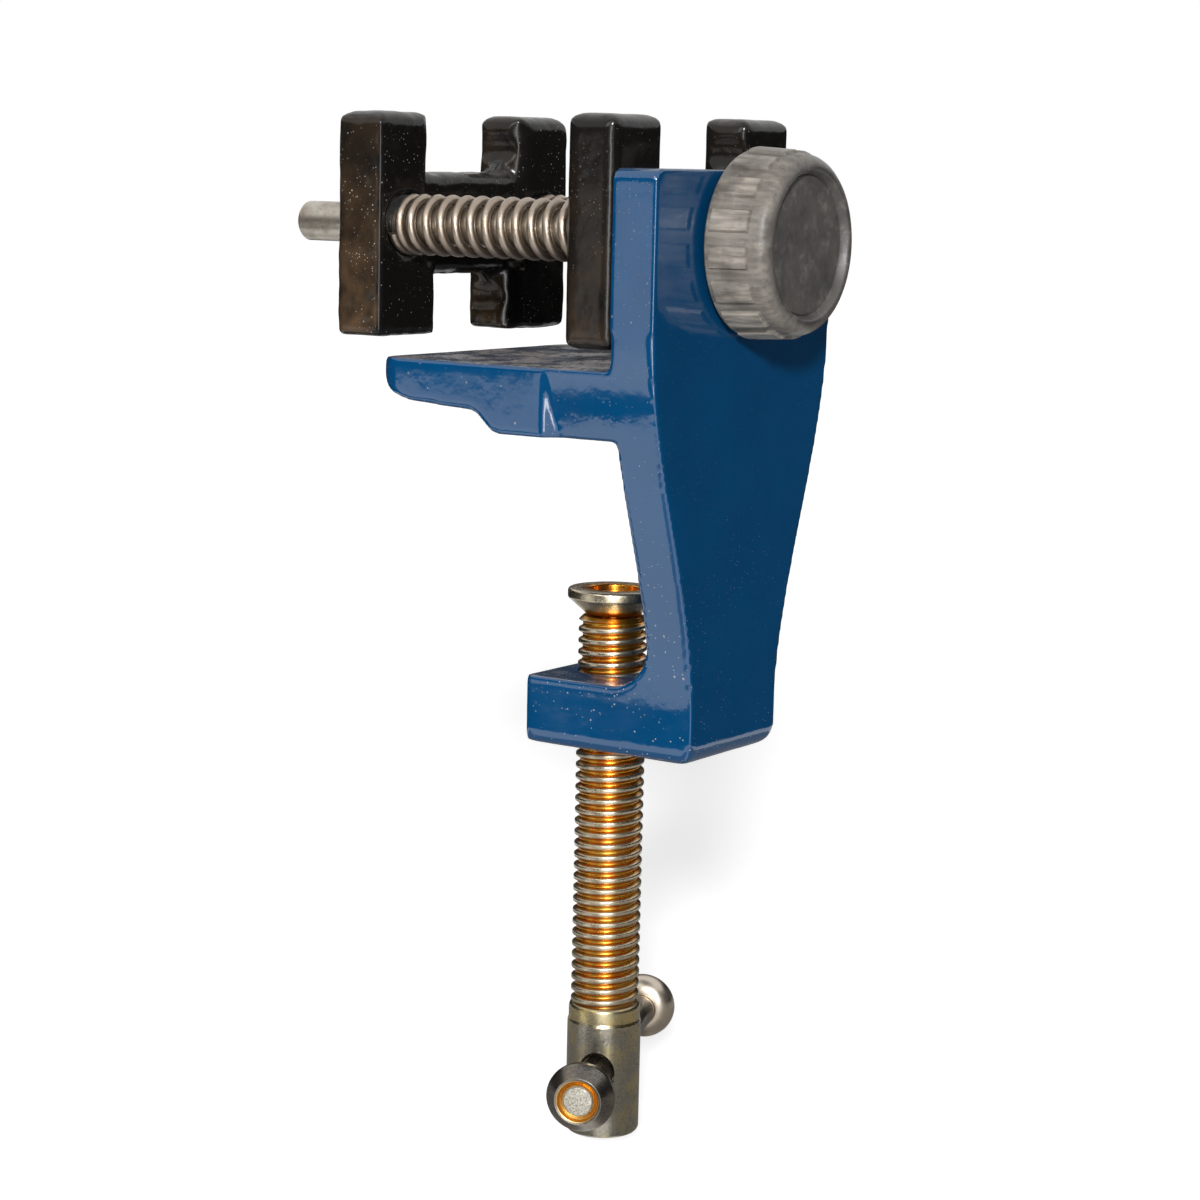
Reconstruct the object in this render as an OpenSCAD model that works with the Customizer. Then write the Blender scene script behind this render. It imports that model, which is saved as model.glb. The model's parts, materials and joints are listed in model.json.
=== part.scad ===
// Bench vise for watch cases. A cast C-shaped frame is clamped to the edge of a bench, and two
// H-shaped jaws in soft black coats close on the case when the knob draws the front jaw in.
// Millimetres. The origin is on the bench top, on the clamp screw's axis. +X runs along the edge
// of the bench, +Y points in over the bench and +Z points up.

/* [Frame] */
// Width of the upright at its top
spine_w = 56; // [56:0.5:60]
// Width of the upright at its foot
spine_foot_w = 27; // [24:0.5:30]
// Thickness of the upright
spine_t = 8.5; // [7.5:0.5:11]
// Distance from the upright's inner face to the clamp screw's axis
throat = 16.5; // [14:0.5:20]
// Height of the upright's top above the bench
spine_top = 44; // [42:0.5:47]
// Depth of the upright's foot below the bench top
spine_drop = 54.5; // [52:0.5:64]
// Reach of the shelf, from the upright to its tip
shelf_reach = 48; // [42:0.5:56]
// Height of the shelf's top above the bench
shelf_h = 11.5; // [9:0.5:11.5]
// Width of the shelf
shelf_w = 55.5; // [52:0.5:56]
// Length of the seat that rests on the bench
seat_len = 23; // [20:0.5:28]
// Reach of the lower arm, from the upright to its end
arm_reach = 25.8; // [24:0.2:30]
// Height of the lower arm
arm_h = 12; // [10:0.5:14]

/* [Jaws] */
// Height of the guide rods above the bench
axis_h = 33.6; // [33.5:0.1:36]
// Width of a jaw
jaw_w = 55; // [52:0.5:58]
// Height of a jaw
jaw_h = 38; // [34:0.5:38]
// Thickness of a jaw
jaw_t = 10; // [9.5:0.5:12]
// Width of each block of a jaw, above the web
block_w = 14.9; // [14:0.1:16]
// Width of each block of a jaw, below the web
block_low_w = 17.7; // [16:0.1:18.5]
// Height of the web between the blocks
web_h = 18; // [16.5:0.5:18]
// Opening between the jaws as the vise stands
jaw_gap = 37; // [34:0.5:40]
// Thickness of the soft coat over a jaw
coat_t = 0.8; // [0.6:0.1:1]

/* [Guide rods and springs] */
// Distance from the middle of the vise to each rod's axis
rod_x = 20; // [19.5:0.1:20.5]
// Diameter of the guide rods
rod_d = 6.8; // [6.4:0.1:6.8]
// Length of rod that stands out behind the front jaw
rod_past = 12; // [12:0.5:18]
// Diameter of the spring wire
wire_d = 1.25; // [1:0.05:1.3]
// Mean radius of the spring coils
coil_r = 4.42; // [4.42:0.01:4.6]
// Number of curls in a spring
coils = 13; // [8:1:14]

/* [Lead screw and knob] */
// Diameter of the lead screw's thread
lead_d = 6; // [5:0.5:6]
// Pitch of the lead screw's thread
lead_pitch = 1; // [0.8:0.05:1]
// Height of the guide rods above the lead screw
lead_drop = 1.5; // [0:0.1:1.5]
// Diameter of the knob at its foot
knob_d = 32; // [29:0.5:34]
// Diameter of the knob at its front rim
knob_rim_d = 30; // [29:0.5:32]
// Height of the knob
knob_h = 11.5; // [11.5:0.5:16]
// Number of finger flutes round the knob
flutes = 16; // [10:1:18]

/* [Clamp screw] */
// Diameter of the clamp screw's thread
clamp_d = 12; // [10:0.5:12]
// Pitch of the clamp screw's thread
clamp_pitch = 2; // [1.75:0.25:2.5]
// Thickness of the bench that is clamped
bench_t = 28; // [16:0.5:32]
// Length of the screw below the pad, down to the end of the thread
thread_len = 69; // [66:0.5:80]
// Diameter of the plain head
head_d = 13; // [12.5:0.5:15]
// Length of the plain head
head_len = 23.5; // [20:0.5:28]
// Diameter of the swivel pad
pad_d = 16; // [14:0.5:18]
// Diameter of the tommy bar
bar_d = 5.5; // [4.5:0.5:6]
// Length of the tommy bar over its caps
bar_len = 62.6; // [50:0.2:70]
// How far the tommy bar is pushed through from its middle
bar_shift = 9.5; // [0:0.5:15]
// Angle of the tommy bar from the bench edge
bar_turn = 22.5; // [0:0.5:360]
// Diameter of the tommy bar's caps
cap_d = 12; // [10.5:0.5:14]
// Length of the tommy bar's caps
cap_len = 6; // [5:0.5:8]

/* [Hidden] */
$fn = 64;

// Cuts run this far past a face
past = 1;
// Radial clearance of running fits and of pressed or held fits
running = 0.05;
held = 0.02;
// Chamfer on the ends of turned pieces
chamfer = 0.6;
// Steps in a quarter turn of a rounded corner
corner_steps = 6;

// Frame
spine_in = -throat;
spine_out = spine_in - spine_t;
spine_top_r = 1.5;
spine_foot_r = 2.5;
taper_top = 18;
taper_end = -48;
taper_steps = 24;
arm_end = spine_in + arm_reach;
arm_top = arm_h - spine_drop;
arm_corner_r = 2.5;
arm_fillet = 8.5;
shelf_tip = spine_in + shelf_reach;
shelf_tip_r = 1.3;
shelf_corner_r = 5;
shelf_fillet = 1.2;
shelf_nose = 10;
shelf_lift = 3.5;
shelf_rise = 0.7;
seat_end = spine_in + seat_len;
step_len = 4;
step_steps = 8;
nose_steps = 10;
neck_len = 13;
neck_cut = 5;
rod_socket = 6;

// Jaws
fixed_grip = spine_in + jaw_t;
moving_grip = fixed_grip + jaw_gap;
moving_back = moving_grip + jaw_t;
block_in = jaw_w / 2 - block_w;
block_low_in = jaw_w / 2 - block_low_w;
grip_r = 4;
outer_r = 2.5;
back_r = 1.6;
edge_r = 3;
web_set = 1.5;
web_back = 0.6;
web_r = 2.6;
web_fillet = 5;
dent_r = 2.6;
dent_depth = 0.8;
dent_h = 13.6;
coat_hole = 0.4;
lead_hole = 0.5;

// Lead screw, nut and knob
lead_h = axis_h - lead_drop;
screw_head_af = 10;
screw_head_h = 4;
nut_af = 10;
nut_h = 5;
washer_d = 14;
washer_t = 0.8;
knob_back = spine_out - washer_t;
knob_floor = 3;
knob_rim_r = 2.5;
knob_foot_r = 0.6;
knob_lean = atan((knob_d - knob_rim_d) / (2 * (knob_h - knob_rim_r)));
dish_d = 24;
dish_depth = 1.3;
plug_d = dish_d - 2 * chamfer;
plug_h = 2;
cavity_d = 14;
flute_w = 3.3;
flute_depth = 0.7;
flute_end = 8;
lead_end = moving_back + rod_past;
lead_start = fixed_grip;
// Depth of a thread's groove for its pitch
thread_depth = 0.55;
ring_seat = 1.2;
ring_t = 0.8;
ring_low = spine_in - ring_seat + 0.1;
ring_d = 10.4;
ring_seat_d = 12;
groove_r = 2.4;
ring_mouth = 4;

// Clamp screw, pad and tommy bar
pad_top = -bench_t;
pad_disc_h = 1.6;
pad_cone_h = 2.9;
pad_neck_d = 9.5;
pad_dish_r = 4.3;
pad_dish_h = 2.2;
spigot_r = 3;
rivet_r = 3.9;
rivet_h = 1;
pad_gap = 0.3;
pad_low = pad_top - pad_disc_h - pad_cone_h;
thread_top = pad_low - pad_gap;
thread_end = thread_top - thread_len;
head_end = thread_end - head_len;
bar_z = thread_end - head_len / 2;
hole_r = 3.2;
hole_mouth_r = 3.9;
hole_mouth = 0.9;
flare_r = 3.6;
flare_h = 1;
collar_r = head_d / 2 - 0.35;
collar_h = 2.8;
collar_step = 0.4;
cap_face_r = 3.9;
cap_cone = cap_len / 3;
cap_lip = 0.35;
cap_rim = cap_cone + 0.1 * cap_len;
cap_land = 0.35;
cap_dome = min((cap_d - bar_d) / 2 - cap_land, 0.48 * cap_len);
bar_low = bar_shift - bar_len / 2;
bar_high = bar_shift + bar_len / 2;

// Springs
rings_per_coil = 8;
wire_sides = 6;
end_coils = 2;
end_pitch = 1.75;
spring_gap = 0.05;
spring_len = jaw_gap + 2 * coat_t - 2 * spring_gap;
coil_pitch = (spring_len - 2 * wire_d - end_coils * end_pitch) / (coils - end_coils);

// Eased step from 0 to 1
function ease(t) = let (u = min(1, max(0, t))) u * u * (3 - 2 * u);

// Points on an arc, end to end
function arc(c, r, from, to, n = corner_steps) =
    [for (i = [0:n]) let (a = from + (to - from) * i / n) [c[0] + r * cos(a), c[1] + r * sin(a)]];

// Rectangle from one corner to the other, with a radius for each corner: low, right, high, left
function rounded(low, high, r) = concat(
    arc([low[0] + r[0], low[1] + r[0]], r[0], 180, 270),
    arc([high[0] - r[1], low[1] + r[1]], r[1], 270, 360),
    arc([high[0] - r[2], high[1] - r[2]], r[2], 0, 90),
    arc([low[0] + r[3], high[1] - r[3]], r[3], 90, 180));

// Draws a flat outline of X and Z as a block from y0 to y1
module along_y(y0, y1) {
    translate([0, y1, 0])
        rotate([90, 0, 0])
            linear_extrude(y1 - y0)
                children();
}

// Draws a flat outline of Y and Z as a block from x0 to x1
module along_x(x0, x1) {
    translate([x0, 0, 0])
        rotate([90, 0, 90])
            linear_extrude(x1 - x0)
                children();
}

// Round bar along Y, from y0 to y1, at a place in X and Z
module bar_y(x, z, r, y0, y1) {
    translate([x, y1, z])
        rotate([90, 0, 0])
            cylinder(r = r, h = y1 - y0);
}

// Vertical corner waste: what rounding a corner to r takes away, on the +X and +Y side of p
module corner_waste(p, r, z0, z1) {
    translate([p[0], p[1], z0])
        difference() {
            cube([r + past, r + past, z1 - z0]);
            cylinder(r = r, h = z1 - z0);
        }
}

// Half width of the upright at a height, which eases in below the bench
function half_width(z) =
    (spine_w - (spine_w - spine_foot_w) * ease((taper_top - z) / (taper_top - taper_end))) / 2;

// Right edge of the upright, from its foot to its top
spine_edge = concat(
    arc([spine_foot_w / 2 - spine_foot_r, spine_foot_r - spine_drop], spine_foot_r, -90, 0),
    [for (i = [1:taper_steps]) let (z = taper_end + (taper_top - taper_end) * i / taper_steps)
        [half_width(z), z]],
    arc([spine_w / 2 - spine_top_r, spine_top - spine_top_r], spine_top_r, 0, 90));

// The same edge on the left, from its top to its foot
spine_edge_left = [for (i = [len(spine_edge) - 1:-1:0]) [-spine_edge[i][0], spine_edge[i][1]]];

// Side profile of the upright and the lower arm
arm_profile = concat(
    [[spine_out, -spine_drop], [arm_end, -spine_drop], [arm_end, arm_top]],
    arc([spine_in + arm_fillet, arm_top + arm_fillet], arm_fillet, 270, 180),
    [[spine_in, spine_top], [spine_out, spine_top]]);

// Side profile of the shelf: seat, step, rising underside, rounded nose and flat top
nose_start = shelf_tip - shelf_nose;
nose_top = shelf_h - shelf_tip_r;
nose_low = shelf_lift + shelf_rise;
shelf_profile = concat(
    [[spine_in - past, 0]],
    [for (i = [0:step_steps]) [seat_end + step_len * i / step_steps, shelf_lift * ease(i / step_steps)]],
    [for (i = [0:nose_steps]) let (a = 90 * i / nose_steps)
        [nose_start + shelf_nose * sin(a), nose_top - (nose_top - nose_low) * cos(a)]],
    arc([shelf_tip - shelf_tip_r, nose_top], shelf_tip_r, 0, 90),
    arc([spine_in + shelf_fillet, shelf_h + shelf_fillet], shelf_fillet, 270, 180),
    [[spine_in - past, shelf_h + shelf_fillet]]);

// Outline of the upright, from the front
module spine_outline() {
    polygon(concat(spine_edge, spine_edge_left));
}

// Upright and lower arm, with the arm's end rounded
module upright() {
    difference() {
        intersection() {
            along_x(-spine_w, spine_w)
                polygon(arm_profile);
            along_y(spine_out - past, arm_end + past)
                spine_outline();
        }
        for (side = [0, 1])
            mirror([side, 0, 0])
                corner_waste([spine_foot_w / 2 - arm_corner_r, arm_end - arm_corner_r], arm_corner_r,
                    -spine_drop - past, arm_top + past);
    }
}

// What brings one side of the shelf's neck in to the upright's side, with a slanted end
module neck_trim() {
    outer = shelf_w / 2 + past;
    inner = shelf_w / 2 - neck_cut;
    difference() {
        translate([0, 0, -past])
            linear_extrude(shelf_h + shelf_fillet + 2 * past)
                polygon([[inner, spine_in - 2 * past], [outer, spine_in - 2 * past],
                    [outer, spine_in + neck_len + past], [inner, spine_in + neck_len - neck_cut]]);
        along_y(spine_out, shelf_tip)
            spine_outline();
    }
}

// Shelf that sits on the bench, with rounded front corners and a neck as wide as the upright
module shelf() {
    difference() {
        along_x(-shelf_w / 2, shelf_w / 2)
            polygon(shelf_profile);
        for (side = [0, 1])
            mirror([side, 0, 0]) {
                corner_waste([shelf_w / 2 - shelf_corner_r, shelf_tip - shelf_corner_r], shelf_corner_r,
                    -past, shelf_h + past);
                neck_trim();
            }
    }
}

// Cast frame
module frame() {
    color([0.04, 0.2, 0.4])
        difference() {
            union() {
                upright();
                shelf();
            }
            translate([0, 0, -spine_drop - past])
                cylinder(r = clamp_d / 2 + running, h = arm_h + 2 * past);
            bar_y(0, lead_h, lead_d / 2 + running, spine_out - past, spine_in + past);
            bar_y(0, lead_h, ring_seat_d / 2, spine_in - ring_seat, spine_in + past);
            for (x = [-rod_x, rod_x])
                bar_y(x, axis_h, rod_d / 2 + held, spine_in - rod_socket, spine_in + past);
        }
}

// Column of a jaw block, from its lower end up to a height, with its inner side at a place in X
module block_column(inner, top, e) {
    translate([0, 0, -jaw_h / 2 + e])
        linear_extrude(top + jaw_h / 2 - 2 * e)
            polygon(rounded([inner + e, e], [jaw_w / 2 - e, jaw_t - e],
                [grip_r - e, outer_r - e, back_r - e, back_r - e]));
}

// One block of a jaw, on the +X side, wider below the web, drawn in by e all round
module jaw_block(e) {
    intersection() {
        union() {
            block_column(block_in, jaw_h / 2, e);
            block_column(block_low_in, -web_h / 2 + web_r, e);
        }
        along_x(block_low_in, jaw_w / 2)
            polygon(rounded([e, -jaw_h / 2 + e], [jaw_t - e, jaw_h / 2 - e],
                [edge_r - e, edge_r - e, edge_r - e, edge_r - e]));
    }
}

// Inner side of the blocks above the web, and below it
function inner_side(low) = low == 1 ? block_low_in : block_in;

// Web of a jaw and the fillets that join it to the blocks, drawn in by e all round
module jaw_web(e) {
    r = web_r - e;
    half = web_h / 2 - e;
    fillet = web_fillet + e;
    along_x(-block_in - e - past, block_in + e + past)
        polygon(rounded([web_set + e, -half], [jaw_t - web_back - e, half], [r, r, r, r]));
    for (side = [0, 1], low = [0, 1])
        let (edge = inner_side(low) + e)
            mirror([side, 0, 0])
                mirror([0, 0, low])
                    along_y(web_set + web_r + e, jaw_t - web_back - web_r - e)
                        polygon(concat(
                            arc([edge - fillet, half + fillet], fillet, 270, 360),
                            [[edge + past, half + fillet], [edge + past, half - past]],
                            [[edge - fillet, half - past]]));
}

// Jaw with its grip face at y = 0, facing -Y, and its middle at the height of the guide rods
module jaw_form(e) {
    difference() {
        union() {
            for (side = [0, 1])
                mirror([side, 0, 0])
                    jaw_block(e);
            jaw_web(e);
        }
        for (side = [-1, 1], low = [0, 1])
            bar_y(side * (inner_side(low) + dent_depth - dent_r), dent_h - 2 * low * dent_h, dent_r + e,
                -past, jaw_t + past);
    }
}

// Holes through a jaw for the guide rods and the lead screw
module jaw_holes(rod_r, lead_r) {
    for (x = [-rod_x, rod_x])
        bar_y(x, 0, rod_r, -past, jaw_t + past);
    bar_y(0, -lead_drop, lead_r, -past, jaw_t + past);
}

// Pocket for the nut, open at the back of the jaw
module nut_pocket(clear) {
    translate([0, jaw_t + past, -lead_drop])
        rotate([90, 0, 0])
            cylinder(d = nut_af / cos(30) + 2 * clear, h = nut_h + web_back + coat_t + past, $fn = 6);
}

// Iron core of a jaw
module jaw_core(rod_r) {
    difference() {
        jaw_form(coat_t);
        jaw_holes(rod_r, lead_d / 2 + lead_hole);
        children();
    }
}

// Soft coat round a jaw, open at the grip face where a spring seats on the core
module jaw_coat() {
    difference() {
        jaw_form(0);
        jaw_form(coat_t);
        jaw_holes(rod_d / 2 + coat_hole, lead_d / 2 + lead_hole);
        for (x = [-rod_x, rod_x])
            bar_y(x, 0, coil_r + wire_d / 2 + coat_hole, -past, coat_t + past);
        children();
    }
}

// Puts a jaw with its grip face against the upright's side, facing the other jaw
module at_fixed_jaw() {
    translate([0, fixed_grip, axis_h])
        mirror([0, 1, 0])
            children();
}

// Puts a jaw out on the guide rods, facing the upright
module at_moving_jaw() {
    translate([0, moving_grip, axis_h])
        children();
}

module fixed_jaw() {
    color([0.25, 0.25, 0.26])
        at_fixed_jaw()
            jaw_core(rod_d / 2 + held);
}

module fixed_jaw_coat() {
    color([0.03, 0.03, 0.03])
        at_fixed_jaw()
            jaw_coat();
}

module moving_jaw() {
    color([0.25, 0.25, 0.26])
        at_moving_jaw()
            jaw_core(rod_d / 2 + running)
                nut_pocket(held);
}

module moving_jaw_coat() {
    color([0.03, 0.03, 0.03])
        at_moving_jaw()
            jaw_coat()
                nut_pocket(coat_hole);
}

// Guide rod, from its socket in the upright to its chamfered free end
module guide_rod(x) {
    r = rod_d / 2;
    start = spine_in - rod_socket;
    whole = lead_end - start;
    color([0.72, 0.68, 0.62])
        translate([x, start, axis_h])
            rotate([-90, 0, 0])
                rotate_extrude()
                    polygon([[0, 0], [r, 0], [r, whole - chamfer], [r - chamfer, whole], [0, whole]]);
}

module guide_rod_left() guide_rod(-rod_x);
module guide_rod_right() guide_rod(rod_x);

// Height along the spring after some curls: closed curls at the front jaw, then even ones
function coil_y(turn) =
    wire_d + end_pitch * min(turn, end_coils) + coil_pitch * max(0, turn - end_coils);

// Route of the wire: a straight end, the curls and a straight end, with its angle at each point
coil_angles = concat([0], [for (i = [0:coils * rings_per_coil]) -360 * i / rings_per_coil], [-360 * coils]);
coil_heights = concat([0], [for (i = [0:coils * rings_per_coil]) coil_y(i / rings_per_coil)], [spring_len]);
coil_route = [for (i = [0:len(coil_angles) - 1])
    [coil_r * cos(coil_angles[i]), coil_heights[i], coil_r * sin(coil_angles[i])]];
coil_last = len(coil_route) - 1;

// Least gap of the wire to itself, between points that are most of a curl apart or more
coil_gap = min([for (i = [0:coil_last]) for (j = [i + 1:1:coil_last])
    if (j - i > rings_per_coil / 2 + 1) norm(coil_route[i] - coil_route[j])]) - wire_d;
echo(least_spring_gap = coil_gap);

// Direction of the wire at a point of its route
function unit(v) = v / norm(v);
function coil_run(i) = i == 0 || i == coil_last ? [0, 1, 0]
    : unit(unit(coil_route[i + 1] - coil_route[i]) + unit(coil_route[i] - coil_route[i - 1]));

// Ring of points round the wire at a point of its route
function coil_ring(i) =
    let (out = [cos(coil_angles[i]), 0, sin(coil_angles[i])])
    let (run = coil_run(i))
    let (side = unit(cross(run, out)), lift = cross(side, run))
    [for (k = [0:wire_sides - 1]) let (a = 360 * (k + 0.5) / wire_sides)
        coil_route[i] + wire_d / 2 * (cos(a) * lift + sin(a) * side)];

// Return spring, one unbroken wire from the front jaw's core towards the fixed jaw's
module return_spring(x) {
    points = [for (i = [0:coil_last]) each coil_ring(i)];
    walls = [for (i = [0:coil_last - 1], k = [0:wire_sides - 1])
        let (a = i * wire_sides + k, b = i * wire_sides + (k + 1) % wire_sides)
        each [[a, a + wire_sides, b], [b, a + wire_sides, b + wire_sides]]];
    first = [for (k = [1:wire_sides - 2]) [0, k, k + 1]];
    end = coil_last * wire_sides;
    last = [for (k = [1:wire_sides - 2]) [end, end + k + 1, end + k]];
    color([0.7, 0.63, 0.55])
        translate([x, moving_grip + coat_t - spring_gap, axis_h])
            rotate([0, 0, 180])
                polyhedron(points, concat(walls, first, last));
}

module return_spring_left() return_spring(-rod_x);
module return_spring_right() return_spring(rod_x);

// Ridges of a thread from z0 up to z1, as points of a turned profile with a root and a crest radius
function ridges(z0, z1, pitch, root, crest) = [for (i = [0:floor((z1 - z0) / pitch) - 1])
    each [[root, z0 + pitch * (i + 0.1)], [crest, z0 + pitch * (i + 0.4)],
        [crest, z0 + pitch * (i + 0.6)], [root, z0 + pitch * (i + 0.9)]]];

// Lead screw: a bolt whose head is held in the knob and whose thread runs in the jaw's nut
module lead_screw() {
    groove = ring_low - knob_back;
    shank = lead_start - knob_back;
    whole = lead_end - knob_back;
    r = lead_d / 2;
    color([0.6, 0.6, 0.6])
        translate([0, knob_back, lead_h])
            rotate([-90, 0, 0]) {
                rotate_extrude()
                    polygon(concat([[0, -knob_floor - past], [r, -knob_floor - past], [r, groove],
                        [groove_r, groove], [groove_r, groove + ring_t], [r, groove + ring_t], [r, shank]],
                        ridges(shank, whole - chamfer, lead_pitch, r - thread_depth * lead_pitch, r),
                        [[r - thread_depth * lead_pitch, whole], [0, whole]]));
                translate([0, 0, -knob_floor - screw_head_h])
                    cylinder(d = screw_head_af / cos(30), h = screw_head_h, $fn = 6);
            }
}

// Nut that sits in the back of the front jaw
module jaw_nut() {
    color([0.62, 0.6, 0.56])
        translate([0, moving_back - web_back - coat_t, lead_h])
            rotate([90, 0, 0])
                difference() {
                    cylinder(d = nut_af / cos(30), h = nut_h, $fn = 6);
                    translate([0, 0, -past])
                        cylinder(r = lead_d / 2 + running, h = nut_h + 2 * past);
                }
}

// Puts a turned piece on the lead screw's axis, with its foot towards the upright
module at_knob() {
    translate([0, knob_back, lead_h])
        rotate([90, 0, 0])
            children();
}

// Knob with a leaning flank, finger flutes, a dished face and a hex socket for the screw's head
module knob() {
    r = knob_d / 2;
    rim = knob_rim_d / 2 - knob_rim_r;
    dish_floor = knob_h - dish_depth;
    color([0.13, 0.13, 0.13])
        at_knob()
            difference() {
                rotate_extrude()
                    polygon(concat([[0, 0]],
                        arc([r - knob_foot_r, knob_foot_r], knob_foot_r, 270, 360),
                        arc([rim, knob_h - knob_rim_r], knob_rim_r, 0, 90),
                        [[dish_d / 2, knob_h], [dish_d / 2 - chamfer, dish_floor], [0, dish_floor]]));
                translate([0, 0, -past])
                    cylinder(r = lead_d / 2 + held, h = knob_h);
                translate([0, 0, knob_floor])
                    cylinder(d = screw_head_af / cos(30) + 2 * held, h = knob_h, $fn = 6);
                translate([0, 0, knob_floor + screw_head_h])
                    cylinder(d = cavity_d, h = knob_h);
                translate([0, 0, dish_floor - plug_h])
                    cylinder(d = plug_d + 2 * held, h = knob_h);
                for (i = [0:flutes - 1])
                    rotate([0, 0, 360 * i / flutes])
                        translate([r - flute_depth, -flute_w / 2, 0])
                            rotate([0, -knob_lean, 0])
                                translate([0, 0, -past])
                                    cube([flute_depth + past, flute_w, flute_end + past]);
            }
}

// Plug that covers the screw's head in the knob's face
module knob_cap() {
    color([0.1, 0.1, 0.1])
        at_knob()
            translate([0, 0, knob_h - dish_depth - plug_h])
                rotate_extrude()
                    polygon([[0, 0], [plug_d / 2, 0], [plug_d / 2, plug_h - chamfer / 2],
                        [plug_d / 2 - chamfer / 2, plug_h], [0, plug_h]]);
}

// Washer between the knob and the upright
module thrust_washer() {
    color([0.7, 0.7, 0.7])
        translate([0, spine_out, lead_h])
            rotate([90, 0, 0])
                difference() {
                    cylinder(d = washer_d, h = washer_t);
                    translate([0, 0, -past])
                        cylinder(r = lead_d / 2 + held, h = washer_t + 2 * past);
                }
}

// Spring clip in the screw's groove that keeps the screw from being pushed out of the upright
module retaining_ring() {
    color([0.55, 0.55, 0.55])
        translate([0, ring_low + ring_t, lead_h])
            rotate([90, 0, 0])
                difference() {
                    cylinder(d = ring_d, h = ring_t);
                    translate([0, 0, -past])
                        cylinder(r = groove_r + held, h = ring_t + 2 * past);
                    translate([-ring_mouth / 2, -ring_d, -past])
                        cube([ring_mouth, ring_d, ring_t + 2 * past]);
                }
}

// Puts a piece along the tommy bar, with its X along the bar
module at_bar() {
    translate([0, 0, bar_z])
        rotate([0, 0, bar_turn])
            children();
}

// Clamp screw: a riveted spigot in the pad, the thread, a collar and a plain head with a cross hole
module clamp_screw() {
    r = clamp_d / 2;
    root = r - thread_depth * clamp_pitch;
    rivet_top = pad_top - pad_dish_h + pad_gap + rivet_h;
    color([0.72, 0.58, 0.3])
        difference() {
            rotate_extrude()
                polygon(concat([[0, head_end], [head_d / 2 - chamfer, head_end],
                    [head_d / 2, head_end + chamfer], [head_d / 2, thread_end - collar_h - collar_step],
                    [collar_r, thread_end - collar_h], [collar_r, thread_end - chamfer],
                    [collar_r - chamfer, thread_end]],
                    ridges(thread_end, thread_top, clamp_pitch, root, r),
                    [[root, thread_top], [spigot_r, thread_top], [spigot_r, rivet_top - rivet_h],
                        [rivet_r, rivet_top - rivet_h], [rivet_r, rivet_top - chamfer],
                        [rivet_r - chamfer, rivet_top], [0, rivet_top]]));
            at_bar()
                rotate([0, 90, 0]) {
                    cylinder(r = hole_r, h = head_d + past, center = true);
                    for (side = [0, 1])
                        mirror([0, 0, side])
                            translate([0, 0, head_d / 2 - hole_mouth])
                                cylinder(r1 = hole_r, r2 = hole_mouth_r, h = hole_mouth);
                }
        }
}

// Swivel pad that bears on the underside of the bench
module pressure_pad() {
    color([0.66, 0.54, 0.32])
        difference() {
            rotate_extrude()
                polygon([[0, pad_low], [pad_neck_d / 2, pad_low], [pad_d / 2, pad_top - pad_disc_h],
                    [pad_d / 2, pad_top - chamfer], [pad_d / 2 - chamfer, pad_top], [0, pad_top]]);
            translate([0, 0, pad_low - past])
                cylinder(r = spigot_r + running, h = bench_t);
            translate([0, 0, pad_top - pad_dish_h])
                cylinder(r = pad_dish_r, h = pad_dish_h + past);
        }
}

// Tommy bar with its ends riveted over in the caps
module tommy_bar() {
    r = bar_d / 2;
    color([0.5, 0.48, 0.45])
        at_bar()
            rotate([0, 90, 0])
                rotate_extrude()
                    polygon([[0, bar_low], [flare_r, bar_low], [r, bar_low + flare_h],
                        [r, bar_high - flare_h], [flare_r, bar_high], [0, bar_high]]);
}

// Cap on an end of the tommy bar: a cone from its outer face at x = 0, a rim and a dome towards +X
module tommy_cap() {
    r = cap_d / 2;
    color([0.45, 0.42, 0.38])
        rotate([0, 90, 0])
            difference() {
                rotate_extrude()
                    polygon(concat([[0, 0], [cap_face_r, 0], [r - cap_lip, cap_cone], [r, cap_rim]],
                        arc([r - cap_dome, cap_len - cap_dome], cap_dome, 0, 90),
                        [[0, cap_len]]));
                translate([0, 0, -past])
                    cylinder(r = bar_d / 2 + held, h = cap_len + 2 * past);
                cylinder(r1 = flare_r + held, r2 = bar_d / 2 + held, h = flare_h);
            }
}

module tommy_cap_front() {
    at_bar()
        translate([bar_low, 0, 0])
            tommy_cap();
}

module tommy_cap_rear() {
    at_bar()
        translate([bar_high, 0, 0])
            mirror([1, 0, 0])
                tommy_cap();
}

frame();
fixed_jaw();
fixed_jaw_coat();
moving_jaw();
moving_jaw_coat();
guide_rod_left();
guide_rod_right();
return_spring_left();
return_spring_right();
lead_screw();
jaw_nut();
knob();
knob_cap();
thrust_washer();
retaining_ring();
clamp_screw();
pressure_pad();
tommy_bar();
tommy_cap_front();
tommy_cap_rear();
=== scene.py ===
"""Bench vise for watch cases: the shapes and finishes of its pieces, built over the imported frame."""

import json
import math

import bmesh
import bpy
from bpy.props import FloatProperty, FloatVectorProperty, IntProperty, PointerProperty
from mathutils import Matrix, Vector, noise


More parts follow.
